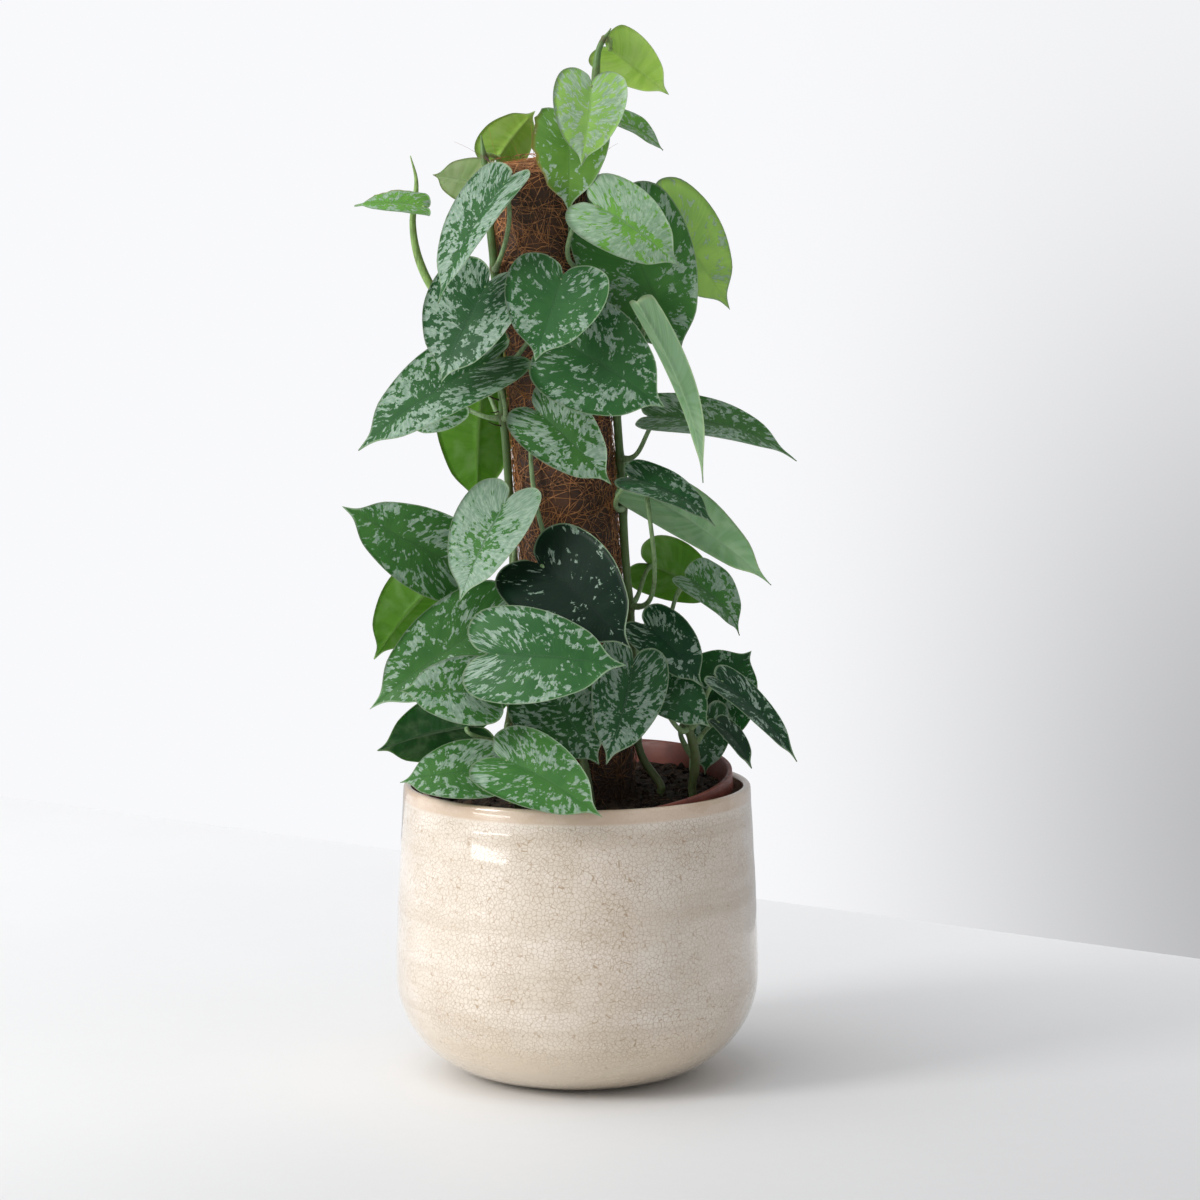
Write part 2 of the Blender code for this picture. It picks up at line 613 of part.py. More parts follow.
def petiole_routes(leaf, shift):
    """Ways the stalk can run from its vine to the blade, the plainest first."""
    length, turn = blade_frame(leaf)
    along, normal = turn @ Vector((0, 1, 0)), turn @ Vector((0, 0, 1))
    base = Vector(leaf.base) + Vector((0, 0, SOIL_TOP)) + shift
    end = base + turn @ blade_point(leaf, length, 0.0, 0.16)
    path = vine_path(leaf.vine)
    for slide in PETIOLE_SLIDES:
        height = SOIL_TOP + leaf.node + slide
        index = min(range(1, len(path) - 1), key=lambda i: abs(path[i].z - height))
        tangent = (path[index + 1] - path[index - 1]).normalized()
        span = end - path[index]
        radial = (span - tangent * span.dot(tangent)).normalized()
        reach = span.length
        turned_side = tangent.cross(radial)
        for swing, rise, pull in itertools.product(PETIOLE_SWINGS, (0.5, 0.0, 1.0), (0.35, 0.7)):
            away = (radial + turned_side * swing).normalized()
            start = path[index] + away * (VINE_RADIUS + GAP + PETIOLE_RADIUS * 0.4)
            for dip, run in PETIOLE_ENDS:
                first = start + (away + tangent * rise).normalized() * reach * pull
                arrive = (normal * dip + along * run).normalized()
                last = end - arrive * reach * 0.35
                yield bezier(start, first, last, end, PETIOLE_SEGMENTS)


def route_petiole(leaf, shift, own, placed):
    """The first route clear of everything placed, and of the leaf's own blade until its end."""
    best, fewest = None, None
    for path in petiole_routes(leaf, shift):
        touched = hits(tube_tree(path, PETIOLE_RADIUS * 1.7), placed)
        touched += hits(tube_tree(path[:-1], PETIOLE_RADIUS), [own])
        if fewest is None or touched < fewest:
            best, fewest = path, touched
        if not touched:
            break
    return best


def shells(mesh):
    """How many closed shells a mesh has. A cavity sealed in it counts as one more."""
    shape = bmesh.new()
    shape.from_mesh(mesh)
    unseen, count = set(shape.verts), 0
    while unseen:
        count += 1
        edge_of_search = [unseen.pop()]
        while edge_of_search:
            near = {e.other_vert(v) for v in edge_of_search for e in v.link_edges}
            edge_of_search = list(near & unseen)
            unseen -= near
    shape.free()
    return count


def build_leaf(name, leaf, collection, cutters, plant, surface, placed, solids):
    mesh = blade_mesh(name, leaf)
    blade = add_object(name, mesh, collection, plant, surface)
    skin = blade.modifiers.new("Thickness", "SOLIDIFY")
    skin.thickness = BLADE_THICKNESS
    skin.offset = 0.0
    step = 0
    while True:
        step, shift = settle(leaf, mesh, placed, step)
        place = Vector(leaf.base) + Vector((0, 0, SOIL_TOP)) + shift
        path = route_petiole(leaf, shift, tree_of(mesh, Matrix.Translation(place)), placed)
        blade.location = place
        radii = PETIOLE_RADIUS * np.linspace(1.15, 0.85, len(path))
        stalk = mesh_from_curve(stem(f"{name}_stalk", path, radii, cutters, plant, None), cutters)
        hide(stalk)
        boolean(blade, stalk, "UNION")
        bpy.context.view_layer.update()
        solid = blade.evaluated_get(bpy.context.evaluated_depsgraph_get()).to_mesh()
        tree = tree_of(solid, Matrix.Translation(place))
        # What the clearances missed shows on the finished leaf, so it's tried one step further on.
        if (shells(solid) == 1 and not hits(tree, solids)) or step >= SETTLE_STEPS - 1:
            break
        blade.modifiers.remove(blade.modifiers[-1])
        bpy.data.objects.remove(stalk)
        step += 1
    solids.append(tree)
    placed.append(tree_of(mesh, Matrix.Translation(place), BLADE_CLEARANCE))
    placed.append(tube_tree(path, PETIOLE_RADIUS * 1.5))
    return blade


def build():
    for old in list(bpy.data.objects):
        bpy.data.objects.remove(old)
    parts = bpy.data.collections.new("potted_pothos")
    cutters = bpy.data.collections.new("cutters")
    bpy.context.scene.collection.children.link(parts)
    bpy.context.scene.collection.children.link(cutters)

    plant = bpy.data.objects.new("plant_frame", None)
    parts.objects.link(plant)
    plant.matrix_world = plant_matrix(NURSERY_LIFT)
    bpy.context.view_layer.update()

    glaze = material("cream_crackle_glaze", (0.72, 0.62, 0.50), 0.18)
    clay_plastic = material("terracotta_plastic", (0.30, 0.09, 0.05), 0.45)
    peat = material("potting_soil", (0.025, 0.016, 0.010), 0.95)
    coir = material("coir_fibre", (0.20, 0.08, 0.03), 0.9)
    wood = material("stake_wood", (0.45, 0.30, 0.16), 0.7)
    green_stem = material("green_stem", (0.16, 0.30, 0.09), 0.4)
    satin_leaf = material("satin_leaf", (0.05, 0.17, 0.07), 0.45)
    young_leaf = material("young_leaf", (0.22, 0.40, 0.07), 0.45)

    feet = {name: vine_path(name)[0] for name in VINES if VINES[name][0][1] < 0}
    cachepot = build_cachepot(parts, glaze)
    nursery = build_nursery_pot(parts, cutters, plant, clay_plastic)
    soil = build_soil(parts, cutters, plant, peat, feet)
    sleeve, _ = build_pole(parts, plant, coir, wood)
    vines = [build_vine(name, parts, plant, green_stem) for name in VINES]

    graph = bpy.context.evaluated_depsgraph_get()
    to_plant = plant.matrix_world.inverted()
    placed = []
    for part in (cachepot, nursery, soil, sleeve, *vines):
        mesh = part.evaluated_get(graph).to_mesh()
        placed.append(tree_of(mesh, to_plant @ part.matrix_world))
    solids = list(placed)
    for name, leaf in LEAVES.items():
        surface = young_leaf if name in YOUNG_LEAVES else satin_leaf
        build_leaf(name, leaf, parts, cutters, plant, surface, placed, solids)


build()
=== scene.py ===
"""The potted pothos in detail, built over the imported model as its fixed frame.

Metres, +Z up. The origin is the centre of the cachepot's flat underside, and the viewer stands at -Y.
Stems and leaves are worked out in the plant frame, whose Z axis leans with the nursery pot.
"""

import itertools
import math
import random
from collections import namedtuple
from contextlib import contextmanager

import bmesh
import bpy
import numpy as np
from mathutils import Matrix, Vector, noise
from mathutils.bvhtree import BVHTree


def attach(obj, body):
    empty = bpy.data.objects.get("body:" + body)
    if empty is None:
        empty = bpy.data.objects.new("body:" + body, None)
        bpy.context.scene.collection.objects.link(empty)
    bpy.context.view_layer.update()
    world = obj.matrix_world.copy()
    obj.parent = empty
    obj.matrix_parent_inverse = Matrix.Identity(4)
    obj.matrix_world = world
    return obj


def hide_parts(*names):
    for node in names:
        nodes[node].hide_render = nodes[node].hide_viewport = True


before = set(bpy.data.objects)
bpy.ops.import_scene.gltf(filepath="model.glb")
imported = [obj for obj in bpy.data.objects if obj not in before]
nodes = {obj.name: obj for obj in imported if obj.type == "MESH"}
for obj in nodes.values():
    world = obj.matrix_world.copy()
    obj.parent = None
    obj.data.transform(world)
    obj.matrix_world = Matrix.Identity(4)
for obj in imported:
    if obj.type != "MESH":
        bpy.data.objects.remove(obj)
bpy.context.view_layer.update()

# The CAD part's sizes, as its source has them
GAP = 0.0003
POT_HEIGHT = 0.179
POT_RIM_RADIUS = 0.106
POT_BELLY_RADIUS = 0.1115
POT_BELLY_HEIGHT = 0.062
POT_FOOT_RADIUS = 0.048
POT_WALL = 0.005
POT_FLOOR = 0.006
POT_SIDE_POWER = 1.4
LEAN_LEFT = math.radians(3.8)
LEAN_FRONT = math.radians(5.5)
POT_PROUD = 0.004
NURSERY_LIFT = 0.0082
NURSERY_RIM_GAP = 0.006
NURSERY_WALL = 0.0012
NURSERY_BASE_SHARE = 0.69
NURSERY_BAND = 0.013
NURSERY_BAND_STEP = 0.0016
DRAIN_HOLES = 6
DRAIN_RADIUS = 0.0045
SOIL_BELOW_RIM = 0.014
SOIL_DOME = 0.004
POLE_X = 0.005
COIR_RADIUS = 0.031
POLE_HEIGHT = 0.392
POLE_FOOT = 0.020
STAKE_RADIUS = 0.011
VINE_RADIUS = 0.0025
VINE_GAP = 0.0006
PETIOLE_RADIUS = 0.0016
SETTLE_STEP = 0.0015
SETTLE_STEPS = 30
PETIOLE_ENDS = ((0.8, 0.5), (0.3, 0.5), (1.6, 0.5), (0.4, 1.2), (0.0, 1.0), (1.0, -0.5), (-0.6, 0.8))
PETIOLE_SWINGS = (0.0, 0.5, -0.5, 1.0, -1.0, 1.6, -1.6, 3.0, -3.0)
PETIOLE_SLIDES = (0.0, 0.008, -0.008, 0.016, -0.016, 0.026, -0.026, 0.04, -0.04, 0.06, -0.06)
PETIOLE_SEGMENTS = 5
BLADE_ROWS = 6
BLADE_HALF_COLUMNS = 2
BLADE_ARCH = 0.13
VINE_SPAN_SEGMENTS = 2
MIDRIB_POWER = 1.5
NURSERY_HEIGHT = POT_HEIGHT + POT_PROUD - POT_FLOOR - NURSERY_LIFT
NURSERY_RIM_RADIUS = POT_RIM_RADIUS - POT_WALL - NURSERY_RIM_GAP
NURSERY_BASE_RADIUS = NURSERY_RIM_RADIUS * NURSERY_BASE_SHARE
SOIL_TOP = NURSERY_HEIGHT - SOIL_BELOW_RIM
POLE_TOP = SOIL_TOP + POLE_HEIGHT
POT_BOWL = POT_BELLY_RADIUS - POT_FOOT_RADIUS
DRAIN_REACH = NURSERY_BASE_RADIUS * 0.6
POLE_AXIS = Vector((POLE_X, 0, 0))
HALF_CAD_BLADE = 0.0004
CAD_STALK_RADIUS = 0.00145

# How finely the pieces are made
SPAN = np.linspace(0, 1, 8)  # shares of the way along a fibre, hair or root
FINE_SPANS = 12
FINE_ROWS = 40
FINE_HALF = 9
VEINS = 11  # side veins on each half of a leaf
BLADE_THICKNESS = 0.00055
TUBE_SIDE = np.array((0.31, 0.23, 0.92))  # lies along no tube
AXIS_REACH = 1e-6
TINY = 1e-12

lean = Matrix.Rotation(-LEAN_LEFT, 4, "Y") @ Matrix.Rotation(LEAN_FRONT, 4, "X")
rim_centre = lean @ Vector((0, 0, NURSERY_HEIGHT))
PLANT = Matrix.Translation((-rim_centre.x, -rim_centre.y, POT_FLOOR + NURSERY_LIFT)) @ lean
UPRIGHT = Matrix()
# Half of a blade's outline, from the notch round the lobe to the drip tip:
# (share of the half width, share of the length).
OUTLINE = (
    (0.00, 0.00), (0.14, -0.12), (0.50, -0.18), (0.86, -0.09), (1.00, 0.15),
    (0.91, 0.44), (0.60, 0.72), (0.24, 0.91), (0.00, 1.00),
)

def rooted(degrees, reach):
    """The stations of a vine's foot, in the soil."""
    return [(degrees, height, reach) for height in (-0.014, 0.004, 0.010)]


# Vines: (degrees round the pole, 0 at the viewer and 90 to the right, height above the soil,
# distance from the pole's axis), where None lies against the coir.
VINES = {
    "vine_left": (
        *rooted(-78, 0.046), (-82, 0.034, None), (-96, 0.090, None), (-88, 0.150, None),
        (-80, 0.210, None), (-84, 0.270, None), (-74, 0.330, None), (-92, 0.380, None),
        (-100, 0.408, 0.036),
    ),
    "vine_right": (
        *rooted(74, 0.047), (80, 0.034, None), (94, 0.090, None), (78, 0.150, None), (86, 0.210, None),
        (74, 0.270, None), (52, 0.330, None), (56, 0.380, None), (70, 0.425, 0.035), (84, 0.452, 0.037),
        (80, 0.466, 0.046),
    ),
    "vine_front": (
        *rooted(4, 0.044), (0, 0.034, None), (-14, 0.070, None), (4, 0.115, None), (20, 0.158, None),
    ),
    "vine_back": (
        *rooted(176, 0.045), (180, 0.034, None), (168, 0.100, None), (186, 0.170, None),
        (174, 0.240, None), (188, 0.310, None), (176, 0.372, None), (182, 0.400, 0.036),
    ),
    "vine_low_left": (
        *rooted(-38, 0.066), (-36, 0.034, 0.070), (-42, 0.060, 0.064), (-40, 0.088, 0.058),
    ),
    "vine_low_right": (
        *rooted(72, 0.068), (70, 0.028, 0.072), (66, 0.048, 0.070), (60, 0.076, 0.062),
    ),
    "side_shoot": (
        (-66, 0.296, 0.042), (-70, 0.304, 0.056), (-74, 0.318, 0.070), (-78, 0.338, 0.078),
        (-80, 0.360, 0.080), (-80, 0.384, 0.076), (-82, 0.400, 0.078),
    ),
}

# A leaf: the vine and the height on it where its stalk starts, the blade's notch and tip as
# (x, y, height above the soil), its width, and the way its upper side faces as (degrees round,
# degrees up). fold is a V along the midrib, curl bends the tip down, lobe draws the notch in.
Leaf = namedtuple("Leaf", "vine node base tip width faces fold curl lobe", defaults=(0.15, 0.0, 1.0))

LEAVES = {
    # Behind the pole
    1: Leaf("vine_back", 0.330, (0.006, 0.052, 0.352), (-0.012, 0.074, 0.276), 0.062, (180, 35)),
    2: Leaf("vine_back", 0.250, (-0.010, 0.054, 0.268), (0.020, 0.078, 0.196), 0.060, (175, 30)),
    3: Leaf("vine_back", 0.180, (0.018, 0.054, 0.196), (-0.018, 0.086, 0.128), 0.062, (-175, 35)),
    4: Leaf("vine_back", 0.110, (-0.026, 0.056, 0.120), (0.012, 0.096, 0.062), 0.064, (178, 40)),
    5: Leaf("vine_back", 0.060, (0.040, 0.062, 0.088), (0.064, 0.096, 0.034), 0.056, (150, 40)),
    6: Leaf("vine_back", 0.040, (-0.044, 0.050, 0.070), (-0.066, 0.082, 0.020), 0.058, (-150, 40)),
    # Round the sides
    8: Leaf("vine_left", 0.370, (-0.026, 0.026, 0.374), (-0.061, 0.010, 0.386), 0.032, (190, 20), lobe=0.6),
    7: Leaf("vine_left", 0.392, (-0.023, 0.028, 0.391), (0.002, 0.030, 0.418), 0.034, (185, 20)),
    9: Leaf("vine_left", 0.230, (-0.040, 0.020, 0.262), (-0.050, 0.030, 0.178), 0.056, (195, 10)),
    10: Leaf("vine_left", 0.110, (-0.074, 0.006, 0.142), (-0.119, 0.010, 0.094), 0.050, (200, 20)),
    11: Leaf("vine_left", 0.040, (-0.060, -0.014, 0.054), (-0.119, -0.024, 0.045), 0.050, (-165, 15)),
    12: Leaf("vine_right", 0.330, (0.071, 0.002, 0.358), (0.110, -0.006, 0.296), 0.052, (20, 10)),
    13: Leaf("vine_right", 0.110, (0.052, 0.022, 0.140), (0.096, 0.024, 0.112), 0.044, (170, 15)),
    15: Leaf("vine_low_right", 0.016, (0.082, -0.002, 0.050), (0.078, -0.006, 0.012), 0.030, (30, 10)),
    14: Leaf("vine_low_right", 0.030, (0.080, 0.020, 0.046), (0.112, 0.026, 0.080), 0.056, (-10, 20)),
    16: Leaf("vine_left", 0.250, (-0.058, 0.000, 0.250), (-0.088, -0.002, 0.236), 0.028, (-10, 20)),
    # The top
    17: Leaf(
        "vine_right", 0.456, (0.047, 0.004, 0.455), (0.082, 0.010, 0.424), 0.034, (-150, 40),
        lobe=0.5,
    ),
    18: Leaf("vine_right", 0.400, (0.045, -0.010, 0.416), (0.076, -0.015, 0.394), 0.030, (60, 50)),
    19: Leaf("vine_right", 0.370, (0.022, -0.022, 0.415), (0.019, -0.048, 0.365), 0.050, (-5, 25)),
    20: Leaf("vine_right", 0.412, (0.037, -0.034, 0.437), (0.028, -0.062, 0.392), 0.043, (5, 30)),
    21: Leaf(
        "side_shoot", 0.376, (-0.064, -0.028, 0.371), (-0.106, -0.030, 0.375), 0.030, (0, 68),
        lobe=0.3,
    ),
    # Down the front
    22: Leaf("vine_left", 0.240, (-0.032, -0.024, 0.279), (-0.114, -0.044, 0.233), 0.056, (-25, 40)),
    23: Leaf("vine_left", 0.290, (-0.031, -0.038, 0.326), (-0.062, -0.056, 0.271), 0.062, (-25, 25)),
    24: Leaf(
        "vine_left", 0.340, (-0.014, -0.044, 0.387), (-0.060, -0.068, 0.319), 0.046, (-50, 15),
        fold=0.25, lobe=0.45,
    ),
    25: Leaf("vine_right", 0.310, (0.048, -0.034, 0.357), (0.079, -0.046, 0.272), 0.068, (0, 12)),
    26: Leaf("vine_right", 0.340, (0.034, -0.058, 0.369), (0.081, -0.068, 0.331), 0.046, (5, 30)),
    27: Leaf("vine_left", 0.300, (0.013, -0.060, 0.330), (-0.006, -0.084, 0.284), 0.060, (-5, 20)),
    28: Leaf(
        "vine_right", 0.200, (0.058, -0.022, 0.238), (0.145, -0.030, 0.211), 0.050, (20, 70),
        curl=0.3, lobe=0.4,
    ),
    29: Leaf("vine_right", 0.250, (0.012, -0.054, 0.289), (0.067, -0.070, 0.250), 0.066, (0, 15)),
    30: Leaf(
        "vine_right", 0.280, (0.055, -0.080, 0.314), (0.090, -0.092, 0.210), 0.020, (140, 5),
        fold=0.45, curl=0.3, lobe=0.1,
    ),
    31: Leaf("vine_front", 0.150, (-0.008, -0.044, 0.249), (0.033, -0.066, 0.206), 0.044, (-5, 30)),
    32: Leaf(
        "vine_right", 0.120, (0.048, -0.028, 0.196), (0.124, -0.034, 0.133), 0.042, (175, 35),
        lobe=0.5,
    ),
    33: Leaf(
        "vine_right", 0.170, (0.044, -0.050, 0.207), (0.094, -0.060, 0.179), 0.038, (30, 65),
        curl=0.4, lobe=0.6,
    ),
    34: Leaf(
        "vine_right", 0.070, (0.074, -0.020, 0.139), (0.106, -0.032, 0.106), 0.042, (50, 40),
        fold=0.3, curl=0.5, lobe=0.5,
    ),
    35: Leaf("vine_left", 0.130, (-0.063, -0.030, 0.157), (-0.127, -0.040, 0.199), 0.050, (-15, 20)),
    36: Leaf("vine_left", 0.090, (-0.040, -0.054, 0.128), (-0.118, -0.070, 0.082), 0.056, (-20, 25)),
    37: Leaf("vine_left", 0.165, (-0.029, -0.048, 0.198), (-0.060, -0.080, 0.145), 0.050, (-25, 25)),
    38: Leaf("vine_low_right", 0.070, (0.048, -0.034, 0.114), (0.079, -0.050, 0.078), 0.040, (20, 45)),
    39: Leaf("vine_low_right", 0.050, (0.052, -0.042, 0.081), (0.082, -0.056, 0.054), 0.036, (10, 30)),
    40: Leaf("vine_front", 0.070, (0.039, -0.052, 0.099), (0.019, -0.080, 0.044), 0.046, (20, 25)),
    41: Leaf(
        "vine_low_right", 0.060, (0.088, -0.051, 0.083), (0.132, -0.063, 0.031), 0.030, (40, 60),
        lobe=0.4,
    ),
    42: Leaf(
        "vine_low_right", 0.040, (0.087, -0.016, 0.048), (0.106, -0.030, 0.020), 0.022, (60, 50),
        lobe=0.4,
    ),
    44: Leaf("vine_low_left", 0.050, (-0.050, -0.072, 0.040), (-0.104, -0.066, 0.035), 0.044, (-10, 50)),
    47: Leaf("vine_low_left", 0.076, (-0.047, -0.084, 0.092), (-0.098, -0.092, 0.098), 0.042, (-10, 25)),
    43: Leaf("vine_front", 0.050, (-0.014, -0.062, 0.084), (0.015, -0.086, 0.043), 0.056, (0, 30)),
    48: Leaf("vine_low_left", 0.060, (-0.042, -0.090, 0.053), (0.015, -0.122, 0.022), 0.050, (-5, 45)),
    45: Leaf("vine_front", 0.100, (-0.045, -0.084, 0.116), (0.035, -0.102, 0.108), 0.058, (0, 20)),
    46: Leaf("vine_front", 0.140, (-0.013, -0.060, 0.161), (0.038, -0.096, 0.114), 0.066, (5, 30)),
}

GREENS = {
    # black is a very dark green, made darker still as painted shade for leaf 46.
    "black": (0.005, 0.016, 0.010), "deep": (0.010, 0.042, 0.018), "dark": (0.019, 0.074, 0.026),
    "mid": (0.040, 0.130, 0.031), "fresh": (0.100, 0.255, 0.045), "bright": (0.130, 0.300, 0.032),
    # pale is lighter as painted light, for the light shining through leaf 8 from behind.
    "lime": (0.36, 0.56, 0.10), "pale": (0.62, 0.80, 0.42), "sage": (0.19, 0.32, 0.18),
    "grey": (0.085, 0.19, 0.095), "moss": (0.035, 0.115, 0.025), "leaf": (0.026, 0.094, 0.029),
    # glow, on both sides of leaf 12, is lighter as painted light.
    "glow": (0.26, 0.46, 0.11), "olive": (0.080, 0.190, 0.032), "tender": (0.22, 0.42, 0.10),
    "dusk": (0.022, 0.070, 0.024),
}

# Each leaf's share of silver, by the colours of its upper and under sides
SILVER = {
    ("black", "grey"): {46: 0.28}, ("bright", "lime"): {17: 0.2}, ("deep", "bright"): {41: 0.44},
    ("deep", "dusk"): {11: 0.3}, ("deep", "grey"): {38: 0.42, 42: 0.3},
    ("fresh", "lime"): {7: 0.25, 21: 0.62}, ("fresh", "pale"): {8: 0.25},
    ("fresh", "sage"): {18: 0.62, 26: 0.8}, ("glow", "glow"): {12: 0.4},
    ("dark", "grey"): {14: 0.45, 15: 0.55, 39: 0.55, 40: 0.62},
    ("dark", "sage"): {23: 0.58, 32: 0.45, 33: 0.5},
    ("leaf", "grey"): {43: 0.6}, ("leaf", "sage"): {22: 0.56, 24: 0.7, 27: 0.46, 29: 0.46, 45: 0.48},
    ("mid", "bright"): {9: 0.4, 10: 0.4, 13: 0.4}, ("mid", "grey"): {34: 0.62, 44: 0.56},
    ("mid", "sage"): {
        16: 0.62, 25: 0.44, 28: 0.56, 30: 0.55, 31: 0.6, 35: 0.5, 36: 0.48, 37: 0.9, 47: 0.68, 48: 0.5,
    },
    ("olive", "lime"): {19: 0.4}, ("tender", "lime"): {20: 0.66},
}
LOOKS = {number: (*sides, share) for sides, shares in SILVER.items() for number, share in shares.items()}
DEFAULT_LOOK = ("dark", "moss", 0.48)
YOUNG_LEAVES = (7, 8, 12, 17, 18, 21)
# Leaves with eaten or scorched margins: (side, from v, to v, depth as a share of the half width)
BITTEN = {19: (1, 0.30, 0.92, 0.20), 21: (1, 0.45, 0.95, 0.22)}


def smooth_through(points, per_span):
    """Points of a Catmull-Rom curve through the given ones."""
    p = np.array(points, float)
    p = np.vstack([2 * p[0] - p[1], p, 2 * p[-1] - p[-2]])
    found = []
    for i in range(1, len(p) - 2):
        for t in np.arange(per_span) / per_span:
            a, b, c, d = p[i - 1 : i + 3]
            bend, twist = a - 2.5 * b + 2 * c - 0.5 * d, 1.5 * (b - c) + 0.5 * (d - a)
            found.append(b + 0.5 * t * (c - a) + t * t * bend + t**3 * twist)
    found.append(p[-2])
    return [Vector(q) for q in found]


def vine_path(name, spans):
    """The vine's centre line in the plant frame, with that many spans between its stations."""
    touching = COIR_RADIUS + VINE_GAP + VINE_RADIUS
    stations = [(degrees, height, reach or touching) for degrees, height, reach in VINES[name]]
    path = []
    for degrees, height, reach in smooth_through(stations, spans):
        angle = math.radians(degrees)
        reach = max(reach, touching)
        path.append(Vector((POLE_X + reach * math.sin(angle), -reach * math.cos(angle), SOIL_TOP + height)))
    return path


HALF_OUTLINE = smooth_through([(x, y, 0.0) for x, y in OUTLINE], 6)


def outline_point(v):
    """(share of half width, share of length) at v along the half outline, 0 to 1."""
    place = v * (len(HALF_OUTLINE) - 1)
    index = min(int(place), len(HALF_OUTLINE) - 2)
    return HALF_OUTLINE[index].lerp(HALF_OUTLINE[index + 1], place - index).xy


def blade_point(leaf, length, u, v):
    """A point of the blade in its own frame: x across, y along the midrib, z up from its face.
    u runs from margin to margin, -1 to 1, and v from the notch to the tip."""
    side_x, side_y = outline_point(v)
    if side_y < 0:
        side_y *= leaf.lobe
    rib = v**MIDRIB_POWER
    across = abs(u)
    x = math.copysign(side_x * across, u) * leaf.width / 2
    s = rib + (side_y - rib) * across**1.3
    half = leaf.width / 2
    z = BLADE_ARCH * length * 4 * s * (1 - s) * 0.5
    z += leaf.fold * (math.hypot(x, 0.15 * half) - 0.15 * half)
    z -= leaf.curl * length * max(0.0, s - 0.55) ** 2
    return Vector((x, s * length, z))


def blade_frame(leaf):
    """(length, 3x3 matrix) of the blade: its columns are across, along and up."""
    chord = Vector(leaf.tip) - Vector(leaf.base)
    along = chord.normalized()
    round_, up = (math.radians(a) for a in leaf.faces)
    face = Vector((math.sin(round_) * math.cos(up), -math.cos(round_) * math.cos(up), math.sin(up)))
    normal = (face - along * face.dot(along)).normalized()
    across = along.cross(normal)
    return chord.length, Matrix((across, along, normal)).transposed()


# ---------------------------------------------------------------- meshes


def add_object(name, data):
    made = bpy.data.objects.new(name, data)
    bpy.context.scene.collection.objects.link(made)
    return made


def add_piece(name, mesh, materials, slot, *stands_for, moved=PLANT):
    """A visible piece of the part, riding on its body and standing for CAD nodes."""
    mesh.transform(moved)
    made = add_object(name, mesh)
    for material in materials:
        mesh.materials.append(material)
    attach(made, "root")
    if stands_for:
        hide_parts(*stands_for)
    return made


def mesh_of(name, points, faces):
    mesh = bpy.data.meshes.new(name)
    mesh.from_pydata([tuple(p) for p in points], [], faces)
    mesh.polygons.foreach_set("use_smooth", [True] * len(mesh.polygons))
    return mesh


@contextmanager
def editing(mesh):
    """A bmesh of a mesh, written back at the end."""
    shape = bmesh.new()
    shape.from_mesh(mesh)
    yield shape
    shape.to_mesh(mesh)
    shape.free()


def lathe(name, profile, steps, ripple=None):
    """A closed solid of revolution from a profile that runs from axis to axis.
    ripple(angle, r, z) moves a point."""
    points, faces, rings = [], [], []
    for r, z in profile:
        if r < AXIS_REACH:
            rings.append([len(points)] * steps)
            points.append((0.0, 0.0, z))
            continue
        rings.append(range(len(points), len(points) + steps))
        for i in range(steps):
            angle = math.tau * i / steps
            reach, height = ripple(angle, r, z) if ripple else (r, z)
            points.append((reach * math.cos(angle), reach * math.sin(angle), height))
    for low, high in zip(rings, rings[1:]):
        for i in range(steps):
            j = (i + 1) % steps
            face = tuple(dict.fromkeys((low[i], low[j], high[j], high[i])))
            if len(face) > 2:
                faces.append(face)
    return mesh_of(name, points, faces)


def tubes(paths, radii, sides):
    """(points, faces) of closed tubes along paths of equal length: paths is (n, m, 3), radii (n, m)."""
    paths, radii = np.asarray(paths, float), np.asarray(radii, float)
    count, length = paths.shape[:2]
    tangent = np.gradient(paths, axis=1)
    tangent /= np.linalg.norm(tangent, axis=2, keepdims=True) + TINY
    across = np.empty_like(tangent)
    side = np.cross(tangent[:, 0], TUBE_SIDE)
    for i in range(length):
        side = side - tangent[:, i] * np.sum(side * tangent[:, i], axis=1, keepdims=True)
        side /= np.linalg.norm(side, axis=1, keepdims=True) + TINY
        across[:, i] = side
    other = np.cross(tangent, across)
    angles = (math.tau * np.arange(sides) / sides)[:, None]
    ring = across[:, :, None] * np.cos(angles) + other[:, :, None] * np.sin(angles)
    points = (paths[:, :, None] + ring * radii[:, :, None, None]).reshape(-1, 3)
    faces = []
    around = [(a, (a + 1) % sides) for a in range(sides)]
    for start in range(0, count * length * sides, length * sides):
        for low in range(start, start + (length - 1) * sides, sides):
            faces += [(low + a, low + b, low + sides + b, low + sides + a) for a, b in around]
        faces.append(tuple(start + a for a in reversed(range(sides))))
        faces.append(tuple(start + (length - 1) * sides + a for a in range(sides)))
    return points, faces


def arc(centre_x, centre_z, radius_x, radius_z, start, end, steps):
    angles = np.radians(np.linspace(start, end, steps + 1))
    return [(centre_x + radius_x * math.cos(a), centre_z + radius_z * math.sin(a)) for a in angles]


# ---------------------------------------------------------------- materials


def node(tree, kind, inputs, output=0, **settings):
    """Adds a shader node and gives one of its outputs. An input is a number, a colour or a Value."""
    made = tree.nodes.new(f"ShaderNode{kind}")
    for key, value in settings.items():
        setattr(made, key, value)
    for key, value in inputs.items():
        if isinstance(value, Value):
            tree.links.new(value.socket, made.inputs[key])
        else:
            made.inputs[key].default_value = value
    return Value(made.outputs[output])


